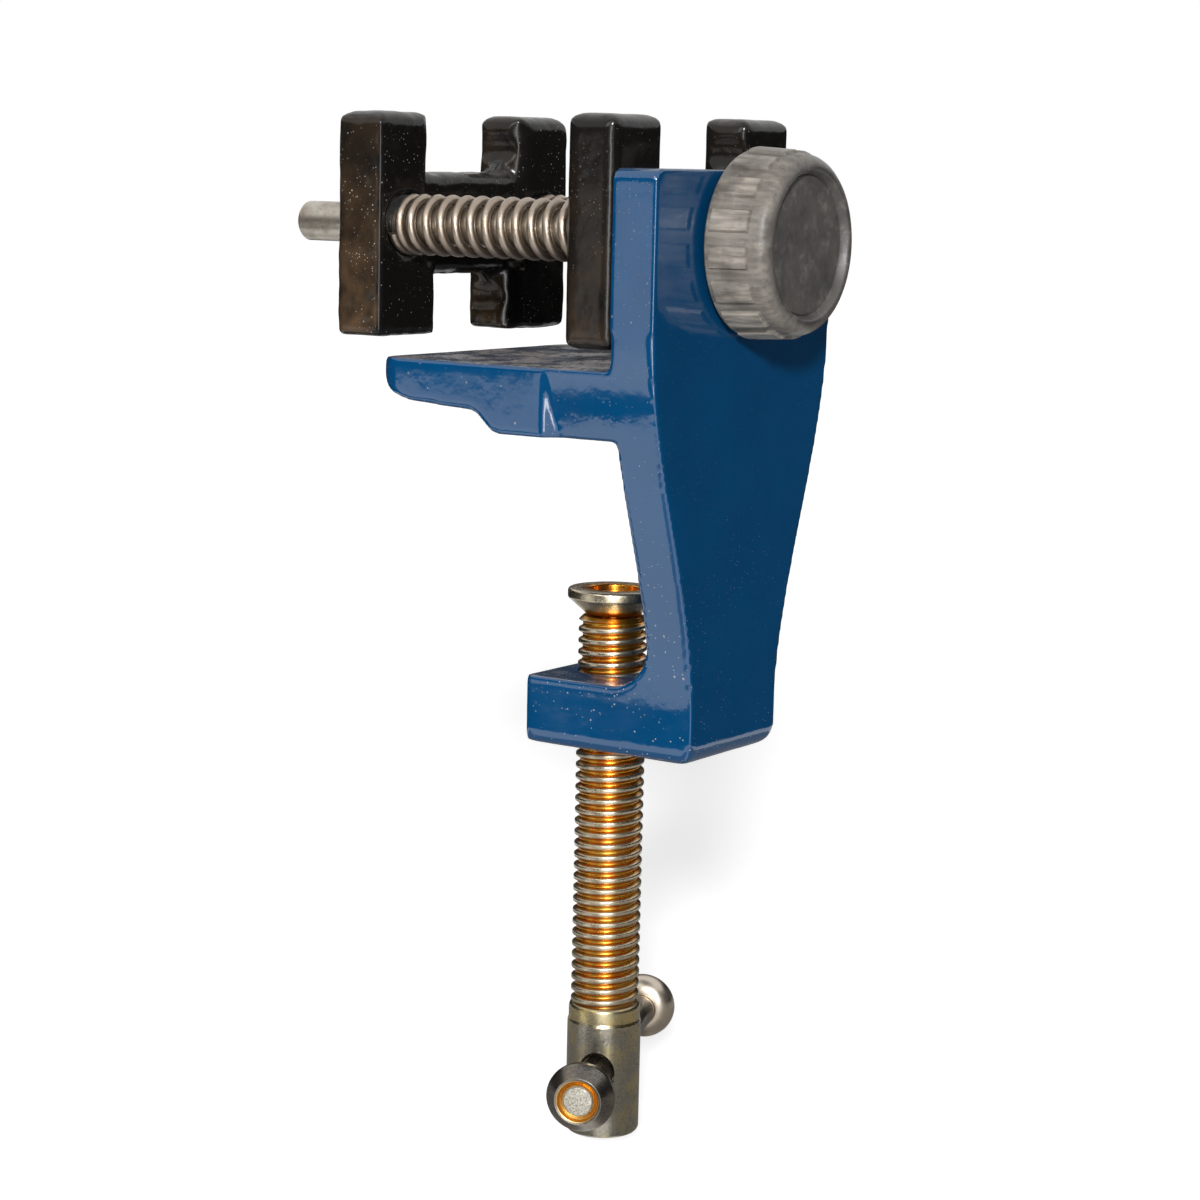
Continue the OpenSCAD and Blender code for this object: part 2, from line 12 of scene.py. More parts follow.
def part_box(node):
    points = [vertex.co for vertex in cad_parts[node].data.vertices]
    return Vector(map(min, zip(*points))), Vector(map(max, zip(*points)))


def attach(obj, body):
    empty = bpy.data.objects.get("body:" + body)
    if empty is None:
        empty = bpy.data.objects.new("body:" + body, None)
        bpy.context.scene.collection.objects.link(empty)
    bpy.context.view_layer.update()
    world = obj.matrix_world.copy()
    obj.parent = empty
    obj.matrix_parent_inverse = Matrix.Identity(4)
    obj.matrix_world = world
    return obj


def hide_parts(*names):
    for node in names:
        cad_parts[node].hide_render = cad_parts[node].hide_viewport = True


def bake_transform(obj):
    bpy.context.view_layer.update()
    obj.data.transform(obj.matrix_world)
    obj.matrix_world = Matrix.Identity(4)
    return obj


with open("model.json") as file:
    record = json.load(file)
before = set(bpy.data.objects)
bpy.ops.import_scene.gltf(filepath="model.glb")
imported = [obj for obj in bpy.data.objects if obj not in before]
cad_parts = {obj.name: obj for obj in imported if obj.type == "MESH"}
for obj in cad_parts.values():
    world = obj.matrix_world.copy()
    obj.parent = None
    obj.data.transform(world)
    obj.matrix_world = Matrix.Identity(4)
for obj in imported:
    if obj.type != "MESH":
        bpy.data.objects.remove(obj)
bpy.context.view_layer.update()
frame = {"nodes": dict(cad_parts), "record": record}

bl_info = {
    "name": "Watch Case Vise",
    "version": (1, 0, 0),
    "blender": (4, 5, 0),
    "location": "View3D > Sidebar > Vise",
    "description": "Models the pieces of a bench vise for watch cases and sets them in a pale studio",
    "category": "Object",
}

MM = 0.001
WELD = 0.002 * MM
FULL_TURN = 2 * math.pi
QUARTER_TURN = math.pi / 2

# Clearances, added to a radius
SNUG = 0.02 * MM
RUNNING = 0.05 * MM
LOOSE = 0.4 * MM

# Half the width across the flats of the lead screw's head and nut
HEX_R = 5 * MM


def middle(node):
    """Middle of a node's box."""
    low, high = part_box(node)
    return (low + high) / 2


def joint_axis(name):
    """Direction of a joint, from the record."""
    joints = frame["record"]["behaviour"]["joints"]
    return Vector(next(joint["axis"] for joint in joints if joint["name"] == name))


# Places that the frame gives
CASTING_LOW, CASTING_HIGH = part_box("frame")
LEAD_AXIS = middle("knob")
UPRIGHT_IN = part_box("fixed_jaw_coat")[0].y
FIXED_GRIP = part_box("fixed_jaw_coat")[1].y
MOVING_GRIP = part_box("moving_jaw_coat")[0].y
JAW_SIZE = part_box("moving_jaw_coat")[1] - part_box("moving_jaw_coat")[0]
ROD_X, ROD_H = middle("guide_rod_right").x, middle("guide_rod_right").z
ROD_R = (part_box("guide_rod_right")[1].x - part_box("guide_rod_right")[0].x) / 2
LEAD_DROP = ROD_H - LEAD_AXIS.z
KNOB_R = (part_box("knob")[1].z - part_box("knob")[0].z) / 2
KNOB_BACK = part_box("knob")[1].y
KNOB_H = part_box("knob")[1].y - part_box("knob")[0].y
HEAD_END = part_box("clamp_screw")[0].z
HEAD_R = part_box("clamp_screw")[1].x
PAD_LOW, PAD_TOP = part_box("pressure_pad")[0].z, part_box("pressure_pad")[1].z
PAD_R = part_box("pressure_pad")[1].x
BAR_DIR = joint_axis("bar_slide")
BAR_MIDDLE = middle("tommy_bar")

STILL = Matrix.Identity(4)
ALONG_X = Matrix.Rotation(QUARTER_TURN, 4, "Z")
ALONG_Y = Matrix.Rotation(-QUARTER_TURN, 4, "X")
AGAINST_Y = Matrix.Rotation(QUARTER_TURN, 4, "X")


def at(x, y, z, turn=ALONG_Y):
    """Place at a point, turned so that Z runs along Y or as told."""
    return Matrix.Translation((x, y, z)) @ turn


def length(name, description, millimetres):
    """Property for a length, given in millimetres."""
    return FloatProperty(name=name, description=description, default=millimetres * MM, min=0.0, precision=5,
                         subtype="DISTANCE", unit="LENGTH")


def angle(name, description, degrees):
    """Property for an angle, given in degrees."""
    return FloatProperty(name=name, description=description, default=math.radians(degrees), subtype="ANGLE",
                         unit="ROTATION")


def number(name, description, default):
    """Property for a plain number."""
    return FloatProperty(name=name, description=description, default=default)


def tint(name, description, default):
    """Property for a colour."""
    return FloatVectorProperty(name=name, description=description, default=default, size=3,
                               min=0.0, max=1.0, subtype="COLOR")


class ViseSizes(bpy.types.PropertyGroup):
    """Sizes of the pieces' finer forms."""

    casting_grain: length("Casting grain", "Size of the casting's mesh cells", 0.5)
    casting_lumps: length("Casting lumps", "Height of lumps in the casting's enamel", 0.03)
    foot_w: length("Foot width", "Width of the upright at its foot", 27)
    taper_top: length("Taper top", "Height above the bench where the upright starts to narrow", 18)
    taper_len: length("Taper length", "Length over which the upright narrows", 66)
    arm_reach: length("Arm reach", "Reach of the lower arm from the upright", 25.8)
    arm_h: length("Arm height", "Height of the lower arm", 12)
    shelf_h: length("Shelf height", "Height of the shelf's top above the bench", 11.5)
    shelf_w: length("Shelf width", "Width of the shelf", 55.5)
    seat_len: length("Seat length", "Length of the seat that rests on the bench", 23)
    neck_len: length("Neck length", "Length of the shelf's neck, which is as wide as the upright", 13)
    block_w: length("Jaw block", "Width of each block of a jaw, above the web", 14.9)
    block_low_w: length("Low jaw block", "Width of each block of a jaw, below the web", 17.7)
    web_h: length("Jaw web", "Height of the web between a jaw's blocks", 18)
    web_set: length("Web set-back", "Distance of the web behind the grip face", 1.5)
    web_back: length("Web relief", "Distance of the web in front of the jaw's back", 0.6)
    coat_t: length("Coat thickness", "Thickness of the soft coat", 0.8)
    coat_grain: length("Coat grain", "Size of the coat's mesh cells", 0.42)
    fixed_lumps: length("Fixed jaw lumps", "Height of lumps in the fixed jaw's coat", 0.06)
    moving_lumps: length("Moving jaw lumps", "Height of lumps in the moving jaw's coat", 0.2)
    coil_r: length("Coil radius", "Mean radius of the spring coils", 4.4)
    wire_d: length("Spring wire", "Diameter of the spring wire", 1.6)
    lead_d: length("Lead screw", "Diameter of the lead screw", 6)
    lead_pitch: length("Lead pitch", "Pitch of the lead screw", 1)
    knob_face_d: length("Knob face", "Diameter to which the knob's flank leans in", 29.4)
    knob_rim: length("Knob rim", "Rounding of the knob's front rim", 2.5)
    knob_dish: length("Knob dish", "Depth of the dish in the knob's face", 1.3)
    knob_pads: IntProperty(name="Knob pads", description="Finger pads round the knob", default=16, min=3)
    clamp_d: length("Clamp screw", "Diameter of the clamp screw's thread", 12)
    clamp_pitch: length("Clamp pitch", "Pitch of the clamp screw", 2)
    clamp_depth: length("Clamp thread depth", "Depth of the clamp screw's groove", 0.75)
    head_len: length("Screw head", "Length of the clamp screw's head", 23.5)
    bar_d: length("Tommy bar", "Diameter of the tommy bar", 5.5)
    bar_len: length("Tommy bar length", "Length of the tommy bar over its caps", 62.6)
    cap_d: length("Cap diameter", "Diameter of the tommy bar's caps", 12)
    cap_len: length("Cap length", "Length of the tommy bar's caps", 6)


class ViseColours(bpy.types.PropertyGroup):
    """Main colours of the finishes."""

    enamel: tint("Enamel", "Blue enamel on the casting", (0.0005, 0.055, 0.155))
    enamel_worn: tint("Worn enamel", "Enamel where edges are rubbed", (0.05, 0.16, 0.34))
    dust: tint("Dust", "Dust and specks", (0.42, 0.39, 0.35))
    coat: tint("Jaw coat", "Black dip coat on the jaws", (0.007, 0.0063, 0.0058))
    iron: tint("Iron", "Iron cores of the jaws", (0.10, 0.10, 0.105))
    steel: tint("Steel", "Rods, nut and washer", (0.52, 0.48, 0.42))
    stain: tint("Stain", "Brown film on old steel", (0.20, 0.145, 0.095))
    wire: tint("Spring wire", "Wire of the return springs", (0.40, 0.335, 0.275))
    knob_face: tint("Knob face", "Dark plastic of the knob's face", (0.055, 0.053, 0.051))
    # The knob flank's pale colour is a painted sheen
    knob_flank_sheen: tint("Knob flank", "Rubbed plastic of the knob's flank", (0.41, 0.365, 0.31))
    zinc_root: tint("Zinc in grooves", "Amber zinc plate in the thread's grooves", (0.62, 0.25, 0.025))
    zinc_crest: tint("Zinc on crests", "Pale zinc plate on the thread's crests", (0.64, 0.54, 0.37))
    zinc_head: tint("Zinc on the head", "Grey zinc plate on the screw's head", (0.36, 0.34, 0.28))
    bar: tint("Tommy bar", "Dark steel of the tommy bar and caps", (0.205, 0.185, 0.165))
    floor: tint("Floor", "Pale floor of the studio", (0.90, 0.90, 0.90))
    screen: tint("Screens", "Dark screens round the studio", (0.025, 0.025, 0.025))
    mat: tint("Mat", "Grey mat round the foot of the screw", (0.45, 0.43, 0.40))


class ViseStage(bpy.types.PropertyGroup):
    """Camera, floor and lights."""

    camera: FloatVectorProperty(name="Camera", description="Place of the camera", subtype="TRANSLATION",
                                unit="LENGTH", default=(-0.4132, -0.2758, 0.0449))
    yaw: angle("Yaw", "Camera's turn from +Y towards +X", 56.0)
    pitch: angle("Pitch", "Camera's tilt below the horizon", 8.6)
    roll: angle("Roll", "Camera's turn round its own view", 1.3)
    lens: number("Lens", "Focal length in millimetres", 87.0)
    floor_r: length("Floor", "Radius of the floor", 4000)
    floor_gap: length("Floor gap", "Room for the clamp screw to come down", 9.5)
    floor_glow: number("Floor glow", "Light that whitens the floor to look at", 0.56)
    screen_r: length("Screens", "Radius of the ring of screens", 300)
    screen_h: length("Screen height", "Height of the screens above the bench", 120)
    sun: number("Sun", "Strength of the key light", 2.9)
    fill: number("Fill", "Strength of the light from all round", 0.22)
    softbox: number("Softbox", "Power of the softbox", 2.2)
    strip: number("Strip", "Power of the strip light behind the camera", 0.9)


def maths(operation, swapped=False):
    """Method for an operator, which adds a Math node."""
    def method(self, other):
        first, second = (other, self) if swapped else (self, other)
        return self.finish.node("ShaderNodeMath", {"operation": operation}, {0: first, 1: second})
    return method


class Strand:
    """A shader socket that takes part in sums: an operator on it adds a Math node."""

    __add__, __radd__ = maths("ADD"), maths("ADD", True)
    __sub__, __rsub__ = maths("SUBTRACT"), maths("SUBTRACT", True)
    __mul__, __rmul__ = maths("MULTIPLY"), maths("MULTIPLY", True)
    __lt__ = maths("LESS_THAN")

    def __init__(self, finish, socket):
        self.finish = finish
        self.socket = socket


class Finish:
    """The nodes of a material or a world, and the shader that they feed."""

    def __init__(self, owner, shader="BSDF_PRINCIPLED"):
        owner.use_nodes = True
        self.owner = owner
        self.tree = owner.node_tree
        self.shader = next(node for node in self.tree.nodes if node.type == shader)
        self.place = self.node("ShaderNodeTexCoord", out="Object")

    @staticmethod
    def pick(sockets, key):
        """A socket by its number, identifier or name."""
        if isinstance(key, int):
            return sockets[key]
        return next(socket for socket in sockets if key in (socket.identifier, socket.name))

    def feed(self, socket, value):
        """Links a strand to a socket, or sets the socket's own value."""
        if isinstance(value, Strand):
            self.tree.links.new(value.socket, socket)
        elif socket.type == "RGBA":
            socket.default_value = (*value, 1.0)
        else:
            socket.default_value = value

    def node(self, kind, settings=None, sockets=None, out=0):
        """Adds a node: its settings first, then the values or links of its sockets."""
        made = self.tree.nodes.new(kind)
        for name, value in (settings or {}).items():
            setattr(made, name, value)
        for key, value in (sockets or {}).items():
            self.feed(self.pick(made.inputs, key), value)
        return Strand(self, self.pick(made.outputs, out))

    def surface(self, **sockets):
        """Feeds the shader's sockets, named with _ for a space, and gives back the material or world."""
        for name, value in sockets.items():
            self.feed(self.shader.inputs[name.replace("_", " ")], value)
        return self.owner

    def stretched(self, scale, shift=(0.0, 0.0, 0.0)):
        """Object coordinates, scaled and moved."""
        return self.node("ShaderNodeMapping", None, {"Vector": self.place, "Scale": scale, "Location": shift})

    def cloud(self, cell, detail=3.0, rough=0.55, vector=None):
        """Noise whose largest lumps are about one cell across."""
        return self.node("ShaderNodeTexNoise", None, {"Vector": vector or self.place, "Scale": 1 / cell,
                                                      "Detail": detail, "Roughness": rough})

    def ramp(self, strand, low, high, start=0.0, end=1.0):
        """A strand remapped from low..high to start..end, and held there."""
        return self.node("ShaderNodeMapRange", None, {"Value": strand, "From Min": low, "From Max": high,
                                                      "To Min": start, "To Max": end})

    def patches(self, cell, low, high, detail=3.0, rough=0.55, start=0.0, end=1.0):
        """Noise remapped from low..high to start..end."""
        return self.ramp(self.cloud(cell, detail, rough), low, high, start, end)

    def blend(self, share, first, second):
        """Mix of two colours."""
        return self.node("ShaderNodeMix", {"data_type": "RGBA"},
                         {"Factor_Float": share, "A_Color": first, "B_Color": second}, "Result_Color")

    def coats(self, tone, *coats):
        """A tone under coats of (share, colour), each over those before it."""
        for share, colour in coats:
            tone = self.blend(share, tone, colour)
        return tone

    def specks(self, cell, size, share, shift=(0.0, 0.0, 0.0)):
        """Mask of small dots, one in some of the cells."""
        soft_edge = 0.03
        place = self.stretched((1.0, 1.0, 1.0), shift)
        away, colour = (self.node("ShaderNodeTexVoronoi", None, {"Vector": place, "Scale": 1 / cell}, out)
                        for out in ("Distance", "Color"))
        chance, own_size = (self.node("ShaderNodeSeparateColor", None, {"Color": colour}, out)
                            for out in ("Red", "Green"))
        return self.ramp(away - size * own_size, soft_edge, 0.0) * (chance < share)

    def bump(self, height, distance):
        """Normal of a surface that rises by some distance where the height is 1."""
        return self.node("ShaderNodeBump", None, {"Height": height, "Distance": distance, "Strength": 1.0}, "Normal")

    def part(self, axis, of="Object"):
        """X, Y or Z of the object coordinates, or of the normal."""
        return self.node("ShaderNodeSeparateXYZ", None, {"Vector": self.node("ShaderNodeTexCoord", out=of)}, axis)

    def vector(self, operation, first, second=(0.0, 0.0, 0.0), out="Value"):
        """Output of a Vector Math node."""
        return self.node("ShaderNodeVectorMath", {"operation": operation}, {0: first, 1: second}, out)

    def edges(self, radius):
        """Mask of edges and corners within a radius."""
        soft = self.node("ShaderNodeBevel", {"samples": 6}, {"Radius": radius}, "Normal")
        return 1.0 - self.vector("DOT_PRODUCT", soft, self.node("ShaderNodeNewGeometry", out="Normal"))

    def off_axis(self, point, direction):
        """Distance from a line."""
        away = self.vector("SUBTRACT", self.place, point, "Vector")
        return self.vector("LENGTH", self.vector("CROSS_PRODUCT", away, direction, "Vector"))

    def along_axis(self, point, direction):
        """Distance along a line from a point on it."""
        return self.vector("DOT_PRODUCT", self.vector("SUBTRACT", self.place, point, "Vector"), direction)

    def seen(self):
        """1 for rays that look at the surface, straight or in gloss or glass, and 0 for rays of light."""
        camera, gloss, glass = (self.node("ShaderNodeLightPath", out=f"Is {kind} Ray")
                                for kind in ("Camera", "Glossy", "Transmission"))
        return camera + gloss + glass


# Tones that the main colours vary to
DEEP_ENAMEL = (0.001, 0.034, 0.10)
SHELF_DUST = (0.58, 0.49, 0.41)
# Brown of a wooden bench, for the painted reflection low on the jaws' coats
BENCH_REFLECTION = (0.095, 0.056, 0.028)
DARK_IRON = (0.05, 0.048, 0.046)
STEEL_PITS = (0.16, 0.145, 0.11)
WIRE_PITS = (0.22, 0.18, 0.15)
PALE_FACE = (0.11, 0.10, 0.092)
FLANK_STREAKS = (0.13, 0.115, 0.10)
# Painted shade in the hollows between the knob's pads
PAINTED_HOLLOW_SHADE = (0.075, 0.067, 0.059)
FLANK_GRIME = (0.05, 0.042, 0.035)
KNOB_SCUFFS = (0.28, 0.27, 0.25)
ROOT_OLIVE = (0.50, 0.27, 0.045)
ROOT_RUST = (0.60, 0.15, 0.012)
CREST_GREY = (0.46, 0.42, 0.34)
HEAD_SPOTS = (0.24, 0.225, 0.20)
HEAD_GOLD = (0.62, 0.47, 0.16)
HOLE_GOLD = (0.72, 0.50, 0.15)
ZINC_GRIME = (0.09, 0.07, 0.045)
BAR_SPOTS = (0.075, 0.067, 0.060)
BAR_BRONZE = (0.34, 0.28, 0.19)
REAR_CAP = (0.70, 0.61, 0.50)
WORN_STEEL = (0.66, 0.62, 0.58)
RING_GOLD, RING_BROWN = (0.72, 0.43, 0.10), (0.50, 0.33, 0.12)
RIVET_GREY, RIVET_SPOTS = (0.50, 0.48, 0.42), (0.20, 0.185, 0.15)
PALE_FLOOR = (0.93, 0.93, 0.93)


def enamel_finish(paint, scene):
    """Glossy blue enamel: uneven depth, rubbed edges, dust on top and specks low down."""
    colours = scene.vise_colours
    height = paint.part("Z")
    depth = paint.patches(14 * MM, 0.3, 0.7, end=0.35)
    rubbed = paint.ramp(paint.edges(0.7 * MM), 0.04, 0.3) * paint.patches(5 * MM, 0.35, 0.7)
    low = paint.ramp(height, 10 * MM, -45 * MM, 0.25)
    specks = paint.specks(0.6 * MM, 0.24, 0.42) * (paint.patches(16 * MM, 0.34, 0.54, 4.0) * low)
    grains = paint.specks(1.7 * MM, 0.12, 0.22, (0.3, 0.1, 0.2)) * paint.patches(22 * MM, 0.3, 0.6)
    settled = paint.ramp(paint.part("Z", "Normal"), 0.75, 0.98) * paint.patches(1.6 * MM, 0.28, 0.58, 6.0, 0.7)
    settled *= paint.patches(9 * MM, 0.38, 0.60, start=0.2)
    settled *= paint.ramp(height, -20 * MM, 5 * MM, 0.3) * paint.ramp(height, 40 * MM, 20 * MM, 0.3)
    tone = paint.coats(colours.enamel, (depth, DEEP_ENAMEL), (rubbed * 0.55, colours.enamel_worn),
                       (settled * 0.8, SHELF_DUST), (specks * 0.8, colours.dust), (grains * 0.6, colours.dust))
    rough = paint.patches(9 * MM, 0.3, 0.7, 4.0, start=0.07, end=0.14) + settled * 0.35 + specks * 0.3
    peel = paint.cloud(2.2 * MM, 2.0) + specks * 0.8
    return paint.surface(Base_Color=tone, Roughness=rough, Normal=paint.bump(peel, 0.03 * MM),
                         Specular_IOR_Level=0.85)


def coat_finish(paint, scene):
    """Thick glossy black dip coat, lumpy: fine dust all over, and a painted brown reflection of a wooden bench low on
    its outer faces.
    """
    colours = scene.vise_colours
    dusty = paint.ramp(paint.part("Y"), FIXED_GRIP, MOVING_GRIP, 0.3)
    specks = paint.specks(0.55 * MM, 0.25, 0.34) * (paint.patches(9 * MM, 0.40, 0.64) * dusty)
    grains = paint.specks(1.2 * MM, 0.11, 0.30, (0.2, 0.4, 0.1)) * dusty
    settled = paint.ramp(paint.part("Z", "Normal"), 0.45, 0.95) * paint.patches(2.5 * MM, 0.25, 0.7, 5.0)
    # Painted reflection of a wooden bench: brown low on the outer faces, stronger on the moving jaw
    sideways = paint.part("X", "Normal")
    outer = paint.ramp(sideways * sideways, 0.5, 0.9)
    low = paint.ramp(paint.part("Z"), ROD_H + 12 * MM, ROD_H - 18 * MM, 0.25)
    film_and_reflection = paint.patches(6 * MM, 0.35, 0.7, 5.0) * outer * low * dusty
    tone = paint.coats(colours.coat, (film_and_reflection, BENCH_REFLECTION), (settled * 0.25, colours.dust),
                       (specks * 0.7, colours.dust), (grains * 0.6, colours.dust))
    rough = paint.patches(4 * MM, 0.3, 0.75, 4.0, start=0.12, end=0.26) + settled * 0.2 + specks * 0.4
    lumps = paint.cloud(3.2 * MM, 2.0) + specks * 0.5
    return paint.surface(Base_Color=tone, Roughness=rough, Normal=paint.bump(lumps, 0.10 * MM),
                         Specular_IOR_Level=0.28)


def iron_finish(paint, scene):
    """Dull grey iron, as cast."""
    cloud = paint.cloud(1.6 * MM, 5.0)
    tone = paint.blend(paint.ramp(cloud, 0.3, 0.7), scene.vise_colours.iron, DARK_IRON)
    return paint.surface(Base_Color=tone, Metallic=0.9, Roughness=paint.ramp(cloud, 0.3, 0.7, 0.5, 0.7),
                         Normal=paint.bump(cloud, 0.05 * MM))


def steel_finish(paint, scene):
    """Old drawn steel: fine rings from turning, and a brown film in patches."""
    colours = scene.vise_colours
    rings = paint.cloud(1.0, 3.0, 0.6, paint.stretched((60.0, 6000.0, 60.0)))
    film_and_reflection = paint.patches(5 * MM, 0.40, 0.68, 5.0, 0.6)
    pits = paint.patches(0.5 * MM, 0.52, 0.75, 4.0, 0.7)
    tone = paint.coats(colours.steel, (film_and_reflection * 0.75, colours.stain), (pits * 0.6, STEEL_PITS))
    rough = paint.ramp(rings, 0.3, 0.7, 0.26, 0.40) + film_and_reflection * 0.12
    return paint.surface(Base_Color=tone, Metallic=1.0, Roughness=rough,
                         Normal=paint.bump(rings + pits * 0.8, 0.012 * MM))


def wire_finish(paint, scene):
    """Bright spring wire with a warm brown film."""
    colours = scene.vise_colours
    film_and_reflection = paint.patches(3.5 * MM, 0.36, 0.70, 5.0, 0.6)
    pits = paint.patches(0.35 * MM, 0.50, 0.74, 4.0, 0.7)
    tone = paint.coats(colours.wire, (film_and_reflection * 0.45, colours.stain), (pits * 0.35, WIRE_PITS))
    return paint.surface(Base_Color=tone, Metallic=1.0, Roughness=paint.ramp(film_and_reflection, 0.0, 1.0, 0.32, 0.46),
                         Normal=paint.bump(pits, 0.02 * MM))


def knob_finish(paint, scene):
    """Satin plastic: dark scuffed face, a pale flank that is a painted sheen, and painted shade in the hollows between
    the flank's pads.
    """
    colours = scene.vise_colours
    away = paint.off_axis(LEAD_AXIS, (0.0, 1.0, 0.0))
    # Flank and rim, painted paler as a painted sheen
    flank = paint.ramp(away, KNOB_R - 3.2 * MM, KNOB_R - 1.6 * MM)
    # Painted shade in the hollows between the pads
    hollow_shade = paint.ramp(away, KNOB_R - 0.35 * MM, KNOB_R - 0.75 * MM)
    cloud = paint.cloud(6 * MM, 5.0, 0.62)
    scuffs = paint.patches(2.2 * MM, 0.50, 0.72, 6.0, 0.7) * paint.ramp(cloud, 0.40, 0.62)
    streaks = paint.cloud(1.0, 4.0, 0.6, paint.stretched((900.0, 120.0, 900.0)))
    grime = paint.patches(11 * MM, 0.52, 0.68, 4.0)
    face = paint.blend(paint.ramp(cloud, 0.3, 0.7), colours.knob_face, PALE_FACE)
    # Painted sheen on the flank, streaked and grimed, with painted shade in its hollows
    side = paint.coats(colours.knob_flank_sheen, (paint.ramp(streaks, 0.35, 0.7), FLANK_STREAKS),
                       (hollow_shade * 0.5, PAINTED_HOLLOW_SHADE), (grime * 0.75, FLANK_GRIME))
    tone = paint.coats(face, (flank, side), (scuffs * 0.6, KNOB_SCUFFS))
    grain = paint.cloud(0.7 * MM, 3.0) + scuffs
    return paint.surface(Base_Color=tone, Roughness=paint.ramp(cloud, 0.3, 0.7, 0.32, 0.48),
                         Normal=paint.bump(grain, 0.03 * MM), Specular_IOR_Level=0.45)


def zinc_finish(paint, scene):
    """Yellow zinc plate: amber in the grooves, pale on the crests, grey with gold tints on the head."""
    colours, sizes = scene.vise_colours, scene.vise_sizes
    crest_r, head_top = sizes.clamp_d / 2, HEAD_END + sizes.head_len
    away = paint.off_axis((0.0, 0.0, 0.0), (0.0, 0.0, 1.0))
    height = paint.part("Z")
    cloud = paint.cloud(5 * MM, 5.0, 0.6)
    fine = paint.cloud(0.45 * MM, 4.0, 0.65)
    gold = paint.patches(4.5 * MM, 0.48, 0.66, 5.0, 0.65)
    grime = paint.patches(1.1 * MM, 0.55, 0.78, 5.0, 0.7)
    crest = paint.ramp(away + (fine - 0.5) * (0.2 * MM), crest_r - 0.40 * MM, crest_r - 0.16 * MM)
    collar = paint.ramp(height, head_top - 3.6 * MM, head_top - 2.6 * MM)
    in_hole = paint.ramp(away, HEAD_R - 0.9 * MM, HEAD_R - 1.3 * MM)
    is_thread = paint.ramp(height, head_top - 0.3 * MM, head_top + 0.3 * MM)
    root = paint.coats(colours.zinc_root, (paint.ramp(cloud, 0.35, 0.65), ROOT_OLIVE),
                       (paint.patches(2.2 * MM, 0.50, 0.70), ROOT_RUST))
    ridge = paint.blend(paint.ramp(fine, 0.35, 0.7), colours.zinc_crest, CREST_GREY)
    head = paint.coats(colours.zinc_head, (paint.ramp(fine, 0.40, 0.75), HEAD_SPOTS),
                       (gold * 0.45 + collar * 0.35, HEAD_GOLD), (in_hole * (1.0 - collar), HOLE_GOLD))
    tone = paint.coats(head, (is_thread, paint.blend(crest, root, ridge)), (grime * 0.5, ZINC_GRIME))
    rough = paint.ramp(cloud, 0.3, 0.7, 0.22, 0.34) + grime * 0.2
    return paint.surface(Base_Color=tone, Metallic=1.0, Roughness=rough,
                         Normal=paint.bump(fine + grime, 0.018 * MM))


def bar_finish(paint, scene):
    """Dark plated steel, worn bright on its edges, with gold left in the caps' sunk rings."""
    colours, sizes = scene.vise_colours, scene.vise_sizes
    half = sizes.bar_len / 2
    away = paint.off_axis(BAR_MIDDLE, BAR_DIR)
    along = paint.along_axis(BAR_MIDDLE, BAR_DIR)
    reach = paint.node("ShaderNodeMath", {"operation": "ABSOLUTE"}, {0: along})
    end = paint.ramp(reach, half - 1.6 * MM, half - 1.2 * MM)
    rear = paint.ramp(along, half - sizes.cap_len - MM, half - sizes.cap_len)
    speckle = paint.cloud(0.28 * MM, 4.0, 0.7)
    cloud = paint.cloud(4 * MM, 4.0, 0.6)
    worn = paint.ramp(paint.edges(0.45 * MM), 0.03, 0.25)
    sunk = end * paint.ramp(away, 3.75 * MM, 3.63 * MM)
    ring = paint.blend(paint.ramp(speckle, 0.4, 0.7), RING_GOLD, RING_BROWN)
    rivet = end * paint.ramp(away, 2.8 * MM, 2.65 * MM)
    stud = paint.blend(paint.ramp(speckle, 0.4, 0.65), RIVET_GREY, RIVET_SPOTS)
    tone = paint.coats(colours.bar, (paint.ramp(speckle, 0.42, 0.68), BAR_SPOTS),
                       (paint.ramp(cloud, 0.48, 0.70) * 0.5, BAR_BRONZE), (rear * 0.8, REAR_CAP),
                       (worn * 0.7, WORN_STEEL), (sunk, ring), (rivet, stud))
    rough = paint.ramp(cloud, 0.3, 0.7, 0.26, 0.38) + rivet * 0.25
    rise = speckle * (0.35 + rivet)
    return paint.surface(Base_Color=tone, Metallic=1.0, Roughness=rough, Normal=paint.bump(rise, 0.05 * MM))


FINISHES = {
    "blue enamel": enamel_finish,
    "black dip coat": coat_finish,
    "jaw iron": iron_finish,
    "drawn steel": steel_finish,
    "spring wire": wire_finish,
    "knob plastic": knob_finish,
    "yellow zinc": zinc_finish,
    "bar steel": bar_finish,
}


def finish_of(scene, name):
    """The material of this name, made once."""
    made = bpy.data.materials.get(name)
    return made or FINISHES[name](Finish(bpy.data.materials.new(name)), scene)


def rounded(corners, closed=False, steps=5):
    """Outline through corners of (across, along, rounding), each rounded by its own radius."""
    outline = []
    for index, (across, along, radius) in enumerate(corners):
        here = Vector((across, along))
        is_end = not closed and index in (0, len(corners) - 1)
        if not radius or is_end:
            outline.append(here)
            continue
        before = (Vector(corners[index - 1][:2]) - here).normalized()
        after = (Vector(corners[(index + 1) % len(corners)][:2]) - here).normalized()
        half = before.angle(after) / 2
        centre = here + (before + after).normalized() * radius / math.sin(half)
        reach = radius / math.tan(half)
        first, last = here + before * reach - centre, here + after * reach - centre
        outline += [centre + first.slerp(last, step / steps).normalized() * radius for step in range(steps + 1)]
    return outline


def everything(bm):
    """All that a body is made of."""
    return bm.verts[:] + bm.edges[:] + bm.faces[:]


def move_new(bm, geom, vec):
    """Moves the vertices among new geometry."""
    verts = [item for item in geom if isinstance(item, bmesh.types.BMVert)]
    bmesh.ops.translate(bm, verts=verts, vec=vec)


